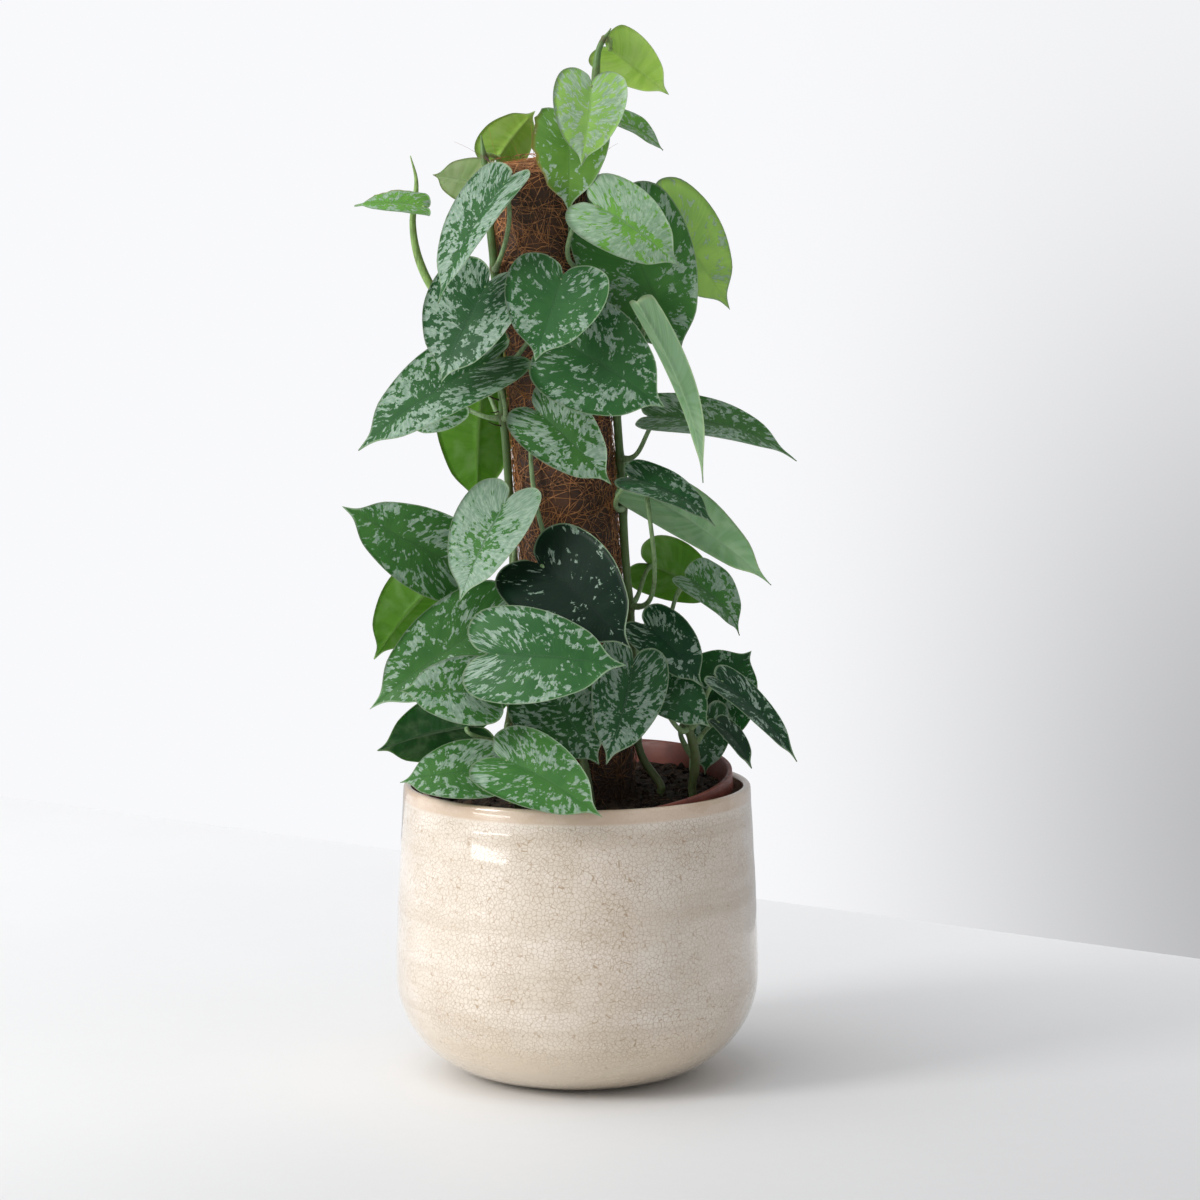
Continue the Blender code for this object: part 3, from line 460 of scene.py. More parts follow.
class Value:
    """A node's output. The operators and methods add the nodes that work on it."""

    def __init__(self, socket):
        self.socket = socket

    def node(self, kind, inputs, **settings):
        return node(self.socket.id_data, kind, inputs, **settings)

    def maths(self, operation, other):
        return self.node("Math", {0: self, 1: other}, operation=operation)

    def __add__(self, other):
        return self.maths("ADD", other)

    def __sub__(self, other):
        return self.maths("SUBTRACT", other)

    def __mul__(self, other):
        return self.maths("MULTIPLY", other)

    def moved(self, operation, **inputs):
        """Vector maths, with the second term as B or as Scale."""
        terms = {1 if key == "B" else key: value for key, value in inputs.items()}
        return self.node("VectorMath", {0: self, **terms}, operation=operation)

    def ramp(self, low, high, a=0.0, b=1.0, kind="SMOOTHSTEP"):
        """a where this is under low, b over high, smooth between."""
        return self.node("MapRange", {0: self, 1: low, 2: high, 3: a, 4: b}, interpolation_type=kind)

    def mix(self, factor, a, b, kind="MIX"):
        a, b = (c if isinstance(c, Value) else (*c, 1.0) for c in (a, b))
        return self.node("Mix", {0: factor, 6: a, 7: b}, output=2, data_type="RGBA", blend_type=kind)

    def blend(self, a, b):
        """Colour a, over to colour b as this goes from 0 to 1."""
        return self.mix(self, a, b)

    def towards(self, colour, share):
        return self.mix(share, self, colour)

    def tinted(self, *colour):
        return self.mix(1.0, self, colour, "MULTIPLY")

    def between(self, a, b):
        return self.node("Mix", {0: self, 2: a, 3: b}, data_type="FLOAT")

    def grain(self, scale, detail=2.0, rough=0.5, distortion=0.0):
        """Noise over this place."""
        look = {"Scale": scale, "Detail": detail, "Roughness": rough, "Distortion": distortion}
        return self.node("TexNoise", {"Vector": self, **look})

    def stretched(self, *scale):
        return self.node("Mapping", {"Vector": self, "Scale": scale})

    def split(self):
        return [Value(part) for part in self.node("SeparateXYZ", {0: self}).socket.node.outputs]


class Look:
    """A material whose plain numbers are set on the shader's own sockets."""

    def __init__(self, name, **sockets):
        self.material = bpy.data.materials.new(name)
        self.material.use_nodes = True
        self.tree = self.material.node_tree
        self.shader = self.tree.nodes["Principled BSDF"]
        for key, value in sockets.items():
            self.shader.inputs[key.replace("_", " ")].default_value = value

    def place(self):
        return node(self.tree, "TexCoord", {}, "Object")

    def attribute(self, name, output="Color"):
        return node(self.tree, "Attribute", {}, output, attribute_name=name)

    def link(self, socket, value):
        self.tree.links.new(value.socket, self.shader.inputs[socket])

    def finish(self, colour, rough, relief, distance, strength):
        bump = relief.node("Bump", {"Height": relief, "Distance": distance, "Strength": strength})
        self.link("Base Color", colour)
        self.link("Roughness", rough)
        self.link("Normal", bump)
        return self.material


def glaze_material():
    look = Look("crackle_glaze", Coat_Weight=1.0, Coat_Roughness=0.05, Coat_IOR=1.5, IOR=1.5)
    place = look.place()
    height = place.split()[2]
    wobble = node(look.tree, "TexNoise", {"Vector": place, "Scale": 90.0, "Detail": 1.0}, 1)
    shift = wobble.moved("SUBTRACT", B=(0.5, 0.5, 0.5)).moved("SCALE", Scale=0.0035)
    warped = place.moved("ADD", B=shift)
    cracks = []
    for scale, width in ((390.0, 0.07), (640.0, 0.08)):
        cell = {"Vector": warped, "Scale": scale}
        edge = warped.node("TexVoronoi", cell, feature="DISTANCE_TO_EDGE")
        cracks.append(edge.ramp(0.0, width, 1.0, 0.0))
    fine = cracks[1] * place.grain(28.0, 3.0).ramp(0.3, 0.6)
    lines = cracks[0].maths("MAXIMUM", fine * 0.6)
    # The rim's band and the foot are less crackled than the side.
    lines = lines * (height.ramp(0.168, 0.172, 1.0, 0.25) * height.ramp(0.012, 0.04, 0.4, 1.0))
    strength = place.grain(14.0).ramp(0.32, 0.66, 0.7, 1.0)
    rings = place.stretched(2.5, 2.5, 75.0).grain(1.0, 3.0, 0.6)
    mottle = place.stretched(1.0, 1.0, 2.2).grain(26.0, 4.0, 0.62)
    colour = mottle.ramp(0.34, 0.66).blend((0.79, 0.712, 0.62), (0.715, 0.63, 0.525))
    colour = rings.ramp(0.46, 0.7, 0.0, 0.45).blend(colour, (0.56, 0.46, 0.345))
    colour = height.ramp(0.02, 0.06, 0.75, 0.0).blend(colour, (0.72, 0.605, 0.45))
    tan = mottle.ramp(0.35, 0.65).blend((0.68, 0.53, 0.4), (0.56, 0.4, 0.27))
    colour = (height.ramp(0.1695, 0.1715) * 0.85).blend(colour, tan)
    colour = (lines * strength).blend(colour, (0.4, 0.28, 0.17))
    rough = mottle.ramp(0.3, 0.7, 0.16, 0.3) + lines * 0.2
    return look.finish(colour, rough, mottle * 0.15 - lines * 0.4, 0.00035, 0.6)


def plastic_material():
    look = Look("terracotta_plastic", IOR=1.46)
    place = look.place()
    scuff = place.stretched(1.0, 1.0, 6.0).grain(180.0, 3.0, 0.7)
    cloud = place.grain(60.0, 4.0, 0.6).ramp(0.35, 0.65)
    colour = cloud.blend((0.23, 0.062, 0.042), (0.165, 0.043, 0.031))
    colour = scuff.ramp(0.6, 0.78, 0.0, 0.35).blend(colour, (0.42, 0.2, 0.15))
    return look.finish(colour, scuff.ramp(0.3, 0.7, 0.34, 0.55), scuff, 0.00012, 0.5)


def soil_material():
    look = Look("potting_soil", IOR=1.4)
    place = look.place()
    clods = place.grain(170.0, 6.0, 0.7)
    bits = place.node("TexVoronoi", {"Vector": place, "Scale": 520.0})
    colour = clods.ramp(0.38, 0.66).blend((0.01, 0.006, 0.004), (0.05, 0.028, 0.015))
    colour = bits.ramp(0.1, 0.02, 0.0, 0.5).blend(colour, (0.13, 0.07, 0.033))
    return look.finish(colour, clods.ramp(0.3, 0.7, 0.98, 0.72), clods + bits * 0.4, 0.0012, 0.9)


def fibre_material(name, dark, light, orange):
    """Plant fibre, whose shade runs along each strand, stained by soil at the pole's foot."""
    look = Look(name, IOR=1.5)
    place = look.place()
    strand = place.stretched(1.0, 1.0, 1.4).grain(420.0, 3.0, 0.7)
    colour = strand.ramp(0.36, 0.66).blend(dark, light)
    colour = place.grain(45.0, 3.0, 0.6).ramp(0.42, 0.64, 0.0, 0.7).blend(colour, orange)
    colour = place.split()[2].ramp(0.17, 0.225, 0.85, 0.0).blend(colour, (0.014, 0.009, 0.006))
    return look.finish(colour, strand.ramp(0.3, 0.7, 0.55, 0.85), strand, 0.0003, 0.7)


def wood_material():
    look = Look("stake_wood", IOR=1.45)
    place = look.place()
    rings = place.stretched(1.0, 1.0, 0.06).grain(380.0, 4.0, 0.6, 0.4)
    colour = rings.ramp(0.36, 0.66).blend((0.46, 0.29, 0.15), (0.27, 0.155, 0.075))
    colour = place.grain(40.0).ramp(0.4, 0.65, 0.0, 0.5).blend(colour, (0.52, 0.37, 0.22))
    return look.finish(colour, rings.ramp(0.3, 0.7, 0.55, 0.8), rings, 0.0004, 0.7)


def stem_material():
    """Green stem with darker, corky stretches, marked by the point attribute bark."""
    look = Look("green_stem", IOR=1.4, Subsurface_Scale=0.004, Subsurface_Weight=0.08)
    place = look.place()
    streak = place.stretched(1.0, 1.0, 0.12).grain(900.0, 3.0, 0.6)
    cloud = place.grain(110.0, 3.0, 0.6)
    colour = streak.ramp(0.35, 0.68, 0.0, 0.5).blend(look.attribute("tint"), (0.055, 0.12, 0.028))
    colour = cloud.ramp(0.5, 0.72, 0.0, 0.45).blend(colour, (0.1, 0.1, 0.035))
    colour = look.attribute("bark", "Fac").blend(colour, (0.085, 0.055, 0.028))
    return look.finish(colour, cloud.ramp(0.3, 0.7, 0.36, 0.58), streak, 0.00025, 0.6)


def blade_look(name, **sockets):
    """(look, place on the blade along and across the side veins, share from rib to margin,
    metres to the margin, share of silver)."""
    look = Look(name, IOR=1.4, Subsurface_Radius=(0.35, 1.0, 0.15), **sockets)
    return look, look.attribute("vein", "Vector"), *look.attribute("edge", "Vector").split()


def upper_material():
    """The satin upper side: silver patches between the side veins, and a thin pale margin."""
    look, place, from_rib, to_margin, silver = blade_look(
        "satin_leaf", Specular_IOR_Level=0.17, Subsurface_Scale=0.003, Subsurface_Weight=0.1
    )
    base = look.attribute("upper")
    big = place.stretched(250.0, 400.0, 1.0).grain(1.0, 4.0, 0.6, 0.4)
    small = place.stretched(330.0, 900.0, 1.0).grain(1.0, 3.0, 0.65, 0.2)
    broad = place.stretched(70.0, 90.0, 2.0).grain(1.0, 1.0)
    # Silver keeps off the midrib.
    cover = big * 0.72 + small * 0.22 + broad * 0.3 - from_rib.ramp(0.0, 0.42, 0.085, -0.008)
    over = cover - silver.ramp(0.0, 1.0, 0.8, 0.5, "LINEAR")
    patches = over.ramp(-0.002, 0.015)
    lighter = base.tinted(1.5, 1.34, 1.2)
    blotch = place.stretched(60.0, 90.0, 3.0).grain(1.0)
    deep = blotch.ramp(0.35, 0.68, 0.0, 0.6).blend(base, lighter)
    lines = place.stretched(40.0, 1700.0, 1.0).grain(1.0, 1.0)
    deep = lines.ramp(0.48, 0.75, 0.0, 0.35).blend(deep, lighter)
    deep = over.ramp(-0.05, 0.03, 0.0, 0.35).blend(deep, lighter.towards((0.07, 0.185, 0.06), 0.5))
    metal = small.ramp(0.36, 0.66).blend((0.245, 0.345, 0.28), (0.43, 0.53, 0.45))
    metal = lines.ramp(0.44, 0.72, 0.0, 0.45).blend(metal, (0.16, 0.28, 0.17))
    colour = (patches * 0.88).blend(deep, metal.towards(base, 0.22))
    colour = from_rib.ramp(0.0, 0.022, 0.35, 0.0).blend(colour, base.tinted(0.7, 0.75, 0.8))
    colour = to_margin.ramp(0.0002, 0.0009, 0.75, 0.0).blend(colour, (0.27, 0.37, 0.235))
    colour = look.attribute("burn", "Fac").blend(colour, (0.35, 0.27, 0.07))
    rough = patches.between(0.4, 0.52) + small.ramp(0.3, 0.7, -0.04, 0.05)
    relief = lines * 0.5 + patches * 0.25 + small * 0.4
    return look.finish(colour, rough, relief, 0.00026, 0.8)


def lower_material():
    """The matt underside, paler, with its side veins drawn darker."""
    look, place, from_rib, to_margin, _ = blade_look(
        "leaf_underside", Specular_IOR_Level=0.3, Subsurface_Scale=0.004, Subsurface_Weight=0.12
    )
    base = look.attribute("under")
    lines = place.stretched(14.0, 420.0, 1.0).grain(1.0)
    cloud = place.stretched(70.0, 110.0, 1.0).grain(1.0, 3.0, 0.6)
    speck = place.stretched(900.0, 900.0, 1.0).grain(1.0)
    lighter = base.towards((0.5, 0.62, 0.38), 0.2)
    colour = lines.ramp(0.4, 0.64).blend(base, base.tinted(0.8, 0.87, 0.74))
    colour = cloud.ramp(0.42, 0.68, 0.0, 0.8).blend(colour, lighter)
    colour = from_rib.ramp(0.0, 0.045, 0.6, 0.0).blend(colour, lighter)
    colour = to_margin.ramp(0.0002, 0.0009, 0.5, 0.0).blend(colour, (0.34, 0.44, 0.24))
    return look.finish(colour, speck.ramp(0.3, 0.7, 0.48, 0.62), lines + speck * 0.3, 0.0002, 0.7)


def floor_material():
    look = Look("pale_floor", IOR=1.4)
    place = look.place()
    colour = place.grain(2.2, 4.0, 0.6).ramp(0.3, 0.7).blend((0.82, 0.825, 0.83), (0.8, 0.805, 0.81))
    x, y, _ = place.split()
    away = y - x * 0.45
    # Painted light: the floor glows, more the further back and to the left it lies.
    look.link("Emission Strength", away.ramp(-0.2, 1.25, 0.0, 0.145))
    # Painted shade: the floor is darker towards the front and the right.
    colour = away.ramp(0.15, -0.8).blend(colour, (0.58, 0.58, 0.585))
    fine = place.grain(90.0, 3.0)
    return look.finish(colour, fine.ramp(0.3, 0.7, 0.5, 0.58), fine, 0.0002, 0.2)


GLAZE = glaze_material()
PLASTIC = plastic_material()
SOIL = soil_material()
COIR = fibre_material("coir_fibre", (0.16, 0.064, 0.027), (0.60, 0.30, 0.13), (0.74, 0.33, 0.12))
# The core under the strands is far darker than the fibres on it: painted shade in the gaps between the
# strands.
COIR_CORE_PAINTED_SHADE = fibre_material("coir_core", (0.022, 0.009, 0.005), (0.085, 0.036, 0.016), (0.12, 0.046, 0.018))
ROOT = fibre_material("aerial_root", (0.022, 0.013, 0.010), (0.085, 0.048, 0.026), (0.055, 0.032, 0.020))
WOOD = wood_material()
STEM = stem_material()
UPPER = upper_material()
LOWER = lower_material()


# ---------------------------------------------------------------- pots


def pot_side_radius(height):
    share = (height - POT_BELLY_HEIGHT) / (POT_HEIGHT - POT_BELLY_HEIGHT)
    return POT_BELLY_RADIUS - (POT_BELLY_RADIUS - POT_RIM_RADIUS) * max(0.0, share) ** POT_SIDE_POWER


def clipped(x):
    return min(1.0, max(0.0, x))


def inner_limit(z):
    """Half way through the cachepot's wall at a height."""
    if z > POT_BELLY_HEIGHT:
        return pot_side_radius(z) - POT_WALL / 2
    share = clipped(1 - z / POT_BELLY_HEIGHT)
    return POT_FOOT_RADIUS + POT_BOWL * math.sqrt(1 - share**2) - POT_WALL / 2


def thrown(angle, r, z):
    """Soft throwing rings and the slight wobble of a wheel-made pot."""
    depth = clipped((z - 0.012) / 0.03) * clipped((POT_HEIGHT - 0.006 - z) / 0.01)
    rise = z + 0.0016 * math.sin(angle + 0.6) + 0.0009 * math.sin(2 * angle)
    wave = noise.noise(Vector((1.3 * math.cos(angle), 1.3 * math.sin(angle), rise * 120)))
    broad = noise.noise(Vector((math.cos(angle) + 7, math.sin(angle), rise * 30)))
    inside = -1.0 if z > POT_FLOOR + 0.001 and r < inner_limit(z) else 1.0
    return r + depth * inside * (0.00018 * wave + 0.0004 * broad - 0.0002), z


def build_cachepot():
    lip = POT_WALL / 2
    lip_height = POT_HEIGHT - lip
    side = np.linspace(POT_BELLY_HEIGHT, lip_height, 58)
    bend = (POT_FOOT_RADIUS, POT_BELLY_HEIGHT)
    outer = [(pot_side_radius(h), h) for h in side[::-1][1:]]
    outer += arc(*bend, POT_BOWL, POT_BELLY_HEIGHT, 0, -90, 34)[1:]
    inner = arc(*bend, POT_BOWL - POT_WALL, POT_BELLY_HEIGHT - POT_FLOOR, -90, 0, 24)
    inner += [(pot_side_radius(h) - POT_WALL, h) for h in side[1:-1:2]]
    rim = arc(pot_side_radius(lip_height) - lip, lip_height, lip, lip, 180, 0, 12)
    profile = [(0.0, POT_FLOOR), (0.02, POT_FLOOR)] + inner + rim + outer + [(0.02, 0.0), (0.0, 0.0)]
    mesh = lathe("glazed_cachepot", profile, 180, thrown)
    add_piece("glazed_cachepot", mesh, [GLAZE], "crackle_glaze", "cachepot", moved=UPRIGHT)


def nursery_radius(height):
    foot, top = NURSERY_BASE_RADIUS, NURSERY_RIM_RADIUS - NURSERY_BAND_STEP
    return foot + (top - foot) * height / NURSERY_HEIGHT


def build_nursery_pot():
    wall, rim, roll = NURSERY_WALL, NURSERY_RIM_RADIUS, 0.0008
    band, shoulder = NURSERY_HEIGHT - NURSERY_BAND, NURSERY_HEIGHT - roll
    profile = [(0.0, wall), (nursery_radius(wall) * 0.9, wall), (nursery_radius(wall) - wall, wall)]
    profile += [(nursery_radius(h) - wall, h) for h in np.linspace(wall, shoulder, 16)[1:]]
    profile += arc(nursery_radius(NURSERY_HEIGHT) - wall + roll, shoulder, roll, roll, 180, 90, 3)[1:]
    profile += arc(rim - roll, shoulder, roll, roll, 90, 0, 3)
    step = band + NURSERY_BAND_STEP
    profile += [(rim, step + 0.0006), (rim - 0.0004, step), (nursery_radius(band), band)]
    profile += [(nursery_radius(h), h) for h in np.linspace(band, 0.001, 14)[1:]]
    profile += [(NURSERY_BASE_RADIUS - 0.0006, 0.0), (NURSERY_BASE_RADIUS * 0.5, 0.0), (0.0, 0.0)]
    mesh = lathe("nursery_pot_look", profile, 120)
    made = add_piece("nursery_pot_look", mesh, [PLASTIC], "terracotta_plastic", "nursery_pot", moved=UPRIGHT)
    cutter = add_object("drain_holes", bpy.data.meshes.new("drain_holes"))
    with editing(cutter.data) as holes:
        for i in range(DRAIN_HOLES):
            angle = math.tau * i / DRAIN_HOLES
            spot = Matrix.Translation((DRAIN_REACH * math.cos(angle), DRAIN_REACH * math.sin(angle), 0.0))
            ends = {"cap_ends": True, "radius1": DRAIN_RADIUS, "radius2": DRAIN_RADIUS}
            bmesh.ops.create_cone(holes, segments=24, depth=0.006, matrix=spot, **ends)
    cut = made.modifiers.new("drain", "BOOLEAN")
    cut.object, cut.operation, cut.solver = cutter, "DIFFERENCE", "EXACT"
    graph = bpy.context.evaluated_depsgraph_get()
    done = bpy.data.meshes.new_from_object(made.evaluated_get(graph))
    made.modifiers.clear()
    made.data = done
    bpy.data.objects.remove(cutter)
    made.data.transform(PLANT)


def soil_edge(height):
    return nursery_radius(height) - NURSERY_WALL - GAP


SOIL_EDGE = soil_edge(SOIL_TOP)


def soil_height(s):
    return SOIL_TOP + SOIL_DOME * (1 - s**2)


def build_soil():
    """The potting mix, with a crumbly domed top."""

    def crumbly(angle, r, z):
        if z < SOIL_TOP - 0.002 or r > SOIL_EDGE - 0.0006:
            return r, z
        place = Vector((r * math.cos(angle), r * math.sin(angle), 0.0))
        lump = noise.noise(place * 95) * 0.0022 + noise.noise(place * 260) * 0.0015
        return r, z + lump + noise.noise(place * 700) * 0.0006

    rings = [(SOIL_EDGE * s, soil_height(s)) for s in np.linspace(0, 1, 64)]
    low = NURSERY_WALL + GAP
    sides = [(soil_edge(h), h) for h in np.linspace(SOIL_TOP - 0.003, low, 10)]
    mesh = lathe("soil_look", rings + sides + [(0.0, low)], 200, crumbly)
    add_piece("soil_look", mesh, [SOIL], "potting_soil", "soil")


def build_crumbs(rng):
    mesh = bpy.data.meshes.new("soil_crumbs")
    with editing(mesh) as crumbs:
        for _ in range(420):
            angle, s = rng.uniform(0, math.tau), math.sqrt(rng.uniform(0.02, 0.93))
            size = rng.choice((0.0009, 0.0013, 0.0018, 0.0026)) * rng.uniform(0.8, 1.2)
            place = Vector((SOIL_EDGE * s * math.cos(angle), SOIL_EDGE * s * math.sin(angle), 0.0))
            if (place - POLE_AXIS).length < COIR_RADIUS + 0.003:
                continue
            place.z = soil_height(s) + size * 0.25
            turn = Matrix.Rotation(rng.uniform(0, 6), 4, (rng.random(), rng.random(), 1))
            stretch = Matrix.Diagonal((1, rng.uniform(0.6, 1), rng.uniform(0.5, 0.8), 1))
            matrix = Matrix.Translation(place) @ turn @ stretch
            made = bmesh.ops.create_icosphere(crumbs, subdivisions=2, radius=size, matrix=matrix)
            for vertex in made["verts"]:
                vertex.co += (vertex.co - place) * 0.45 * noise.noise(vertex.co * 900)
    add_piece("soil_crumbs", mesh, [SOIL], "potting_soil")


def build_soil_fibres(rng):
    paths, radii = [], []
    for _ in range(150):
        angle, s = rng.uniform(0, math.tau), math.sqrt(rng.uniform(0.05, 0.86))
        x, y, path = SOIL_EDGE * s * math.cos(angle), SOIL_EDGE * s * math.sin(angle), []
        heading, length = rng.uniform(0, math.tau), rng.uniform(0.006, 0.022)
        bend, rise = rng.uniform(-1.6, 1.6), rng.uniform(0.0003, 0.0045)
        for t in np.linspace(0, 1, 7):
            way = heading + bend * t
            x += math.cos(way) * length / 7
            y += math.sin(way) * length / 7
            s = min(0.97, math.hypot(x, y) / SOIL_EDGE)
            keep = s * SOIL_EDGE / max(1e-6, math.hypot(x, y))
            x, y = x * min(1, keep), y * min(1, keep)
            path.append((x, y, soil_height(s) + 0.0005 + rise * 4 * t * (1 - t)))
        paths.append(path)
        radii.append(np.array([0.6, 1, 1, 1, 0.9, 0.7, 0.3]) * rng.uniform(0.00014, 0.00032))
    add_piece("soil_fibres", mesh_of("soil_fibres", *tubes(paths, radii, 4)), [COIR], "coir_fibre")


# ---------------------------------------------------------------- pole


def build_coir_core():
    bore = STAKE_RADIUS + GAP
    core_radius = COIR_RADIUS - 0.0012

    def shaggy(angle, r, z):
        if r < bore + 0.001:
            return r, z
        lump = noise.noise(Vector((math.cos(angle) * 9, math.sin(angle) * 9, z * 230))) * 0.0009
        return r + lump, z + (lump if z > POLE_TOP - 0.006 else 0.0)

    top = [(bore + (core_radius - bore) * s, POLE_TOP - 0.0022 - 0.0035 * s**3) for s in SPAN]
    side = [(core_radius, h) for h in np.linspace(POLE_TOP - 0.007, POLE_FOOT, 120)]
    mesh = lathe("coir_core", [(bore, POLE_FOOT)] + top + side + [(bore, POLE_FOOT)], 96, shaggy)
    mesh.transform(PLANT @ Matrix.Translation(POLE_AXIS))
    with editing(mesh) as shape:
        bmesh.ops.remove_doubles(shape, verts=shape.verts, dist=1e-7)
        bmesh.ops.recalc_face_normals(shape, faces=shape.faces)
    add_piece("coir_core", mesh, [COIR_CORE_PAINTED_SHADE], "coir_fibre", "coir_sleeve", moved=UPRIGHT)


def fibre_radii(rng, thin, thick, count):
    return rng.uniform(thin, thick, count)[:, None] * np.interp(SPAN, [0, 0.15, 0.8, 1], [0.4, 1, 0.9, 0.25])


def build_strands(rng, count=3400):
    """Fibres round the pole. Most of them wind round it, some run up it."""
    angle = rng.uniform(0, math.tau, count)
    height = rng.uniform(SOIL_TOP - 0.006, POLE_TOP - 0.003, count)
    slope = rng.normal(0.0, 0.7, count)
    upright = rng.random(count) < 0.22
    slope[upright] = rng.normal(1.4, 0.3, upright.sum()) * np.sign(rng.normal(size=upright.sum()))
    length = rng.uniform(0.012, 0.042, count)
    bend = rng.normal(0.0, 1.0, count)
    lift = rng.uniform(0.0, 0.0014, count) + (rng.random(count) < 0.15) * rng.uniform(0.0, 0.0026, count)
    heading = slope[:, None] + bend[:, None] * (SPAN[None] - 0.5) * 1.3
    step = length[:, None] / (len(SPAN) - 1)
    along = np.cumsum(np.cos(heading) * step, axis=1)
    rise = np.cumsum(np.sin(heading) * step, axis=1)
    sunk = rng.uniform(0.0, 0.0010, count)[:, None]
    reach = COIR_RADIUS - 0.0003 - sunk + lift[:, None] * 4 * SPAN * (1 - SPAN)
    reach += 0.00035 * np.sin(SPAN[None] * 11 + angle[:, None] * 9)
    round_ = angle[:, None] + along / COIR_RADIUS
    z = np.clip(height[:, None] + rise, SOIL_TOP - 0.008, POLE_TOP + 0.0006)
    path = np.stack([POLE_X + reach * np.cos(round_), reach * np.sin(round_), z], axis=2)
    mesh = mesh_of("coir_strands", *tubes(path, fibre_radii(rng, 0.00013, 0.00033, count), 3))
    add_piece("coir_strands", mesh, [COIR], "coir_fibre")


# Loose hairs at the pole's top: (degrees round, height under the top, length, outward lean, bend)
HAIRS = (
    (-62, 0.004, 0.034, 0.75, 0.2), (-50, 0.002, 0.026, 0.65, -0.3), (-24, 0.003, 0.024, 0.30, 0.3),
    (-8, 0.002, 0.030, 0.35, -0.2), (66, 0.012, 0.034, 0.80, -0.4), (84, 0.006, 0.020, 0.6, 0.3),
    (-100, 0.030, 0.020, 1.2, 0.5), (118, 0.020, 0.024, 1.0, -0.5), (170, 0.006, 0.028, 0.7, 0.4),
    (-150, 0.010, 0.026, 0.8, -0.3), (30, 0.002, 0.016, 0.4, 0.4), (146, 0.040, 0.018, 1.3, 0.2),
)


def loose_hair(degrees, drop, size, out, turn):
    a = math.radians(degrees)
    outward = Vector((math.sin(a), -math.cos(a), 0))
    base = Vector((POLE_X, 0, POLE_TOP - drop)) + outward * (COIR_RADIUS - 0.0015)
    leans = [(t, out + turn * t) for t in SPAN]
    up = Vector((0, 0, 1))
    return [base + (outward * math.sin(lean) + up * math.cos(lean)) * size * t for t, lean in leans]


def build_pole_top(rng, count=520):
    """Strands across the open top, and loose hairs."""
    angle = rng.uniform(0, math.tau, count)
    swing = rng.normal(0.0, 0.9, count)
    length = rng.uniform(0.010, 0.034, count)[:, None] / len(SPAN)
    start = rng.uniform(0.2, 1.0, count) ** 0.5 * (COIR_RADIUS - 0.001)
    heading = angle + math.pi / 2 + swing
    way = heading[:, None] + rng.normal(0, 1.2, count)[:, None] * SPAN
    x = (start * np.cos(angle))[:, None] + np.cumsum(np.cos(way) * length, axis=1)
    y = (start * np.sin(angle))[:, None] + np.cumsum(np.sin(way) * length, axis=1)
    away = np.hypot(x, y)
    keep = np.minimum(1.0, COIR_RADIUS / np.maximum(away, 1e-9))
    lift = rng.uniform(0, 0.0022, count)[:, None] * 4 * SPAN * (1 - SPAN)
    z = POLE_TOP - 0.0016 - 0.0032 * (away * keep / COIR_RADIUS) ** 3 + lift
    path = np.stack([POLE_X + x * keep, y * keep, z], axis=2)
    hairs = [loose_hair(*hair) for hair in HAIRS]
    thin = np.interp(SPAN, [0, 1], [0.00016, 0.00006])
    radii = np.concatenate([fibre_radii(rng, 0.00011, 0.00026, count), [thin] * len(HAIRS)])
    mesh = mesh_of("coir_top", *tubes(np.concatenate([path, np.array(hairs)]), radii, 3))
    add_piece("coir_top", mesh, [COIR], "coir_fibre")


# ---------------------------------------------------------------- stems


def put(mesh, name, kind, values):
    """Stores a point attribute: FLOAT, FLOAT_VECTOR or FLOAT_COLOR."""
    layer = mesh.attributes.new(name, kind, "POINT")
    key = {"FLOAT": "value", "FLOAT_VECTOR": "vector", "FLOAT_COLOR": "color"}[kind]
    layer.data.foreach_set(key, np.asarray(values, float).ravel())


def put_colour(mesh, name, colour):
    put(mesh, name, "FLOAT_COLOR", np.tile((*colour, 1.0), (len(mesh.vertices), 1)))


def build_vine(name, joints, tint, tip_length):
    """A stem with a swollen, ringed joint wherever a leaf's stalk leaves it."""
    path = vine_path(name, FINE_SPANS)
    reach = np.cumsum([0.0] + [(b - a).length for a, b in zip(path, path[1:])])
    radii = np.full(len(path), VINE_RADIUS)
    bark = np.zeros(len(path))
    for joint in joints:
        index = min(range(len(path)), key=lambda i: (path[i] - joint).length)
        away = np.abs(reach - reach[index])
        radii += 0.00055 * np.exp(-((away / 0.0035) ** 2))
        bark = np.maximum(bark, 0.55 * np.exp(-((away / 0.0018) ** 2)))
    radii *= np.interp(reach[-1] - reach, [0, tip_length, 3 * tip_length], [0.12, 0.62, 1.0])
    old = np.interp([p.z - SOIL_TOP for p in path], [0.0, 0.10, 0.30], [0.55, 0.25, 0.0])
    sides = 14
    mesh = mesh_of(f"{name}_look", *tubes([path], [radii], sides))
    put(mesh, "bark", "FLOAT", np.repeat(np.maximum(bark, old), sides))
    put_colour(mesh, "tint", tint)
    add_piece(f"{name}_look", mesh, [STEM], "green_stem", name)


# The black stubs that stand out from the left stem: (height, swing to the front, length, rise)
STUBS = ((0.252, -0.5, 0.013, 0.3), (0.243, -0.3, 0.009, -0.5), (0.236, -0.7, 0.011, 0.1))


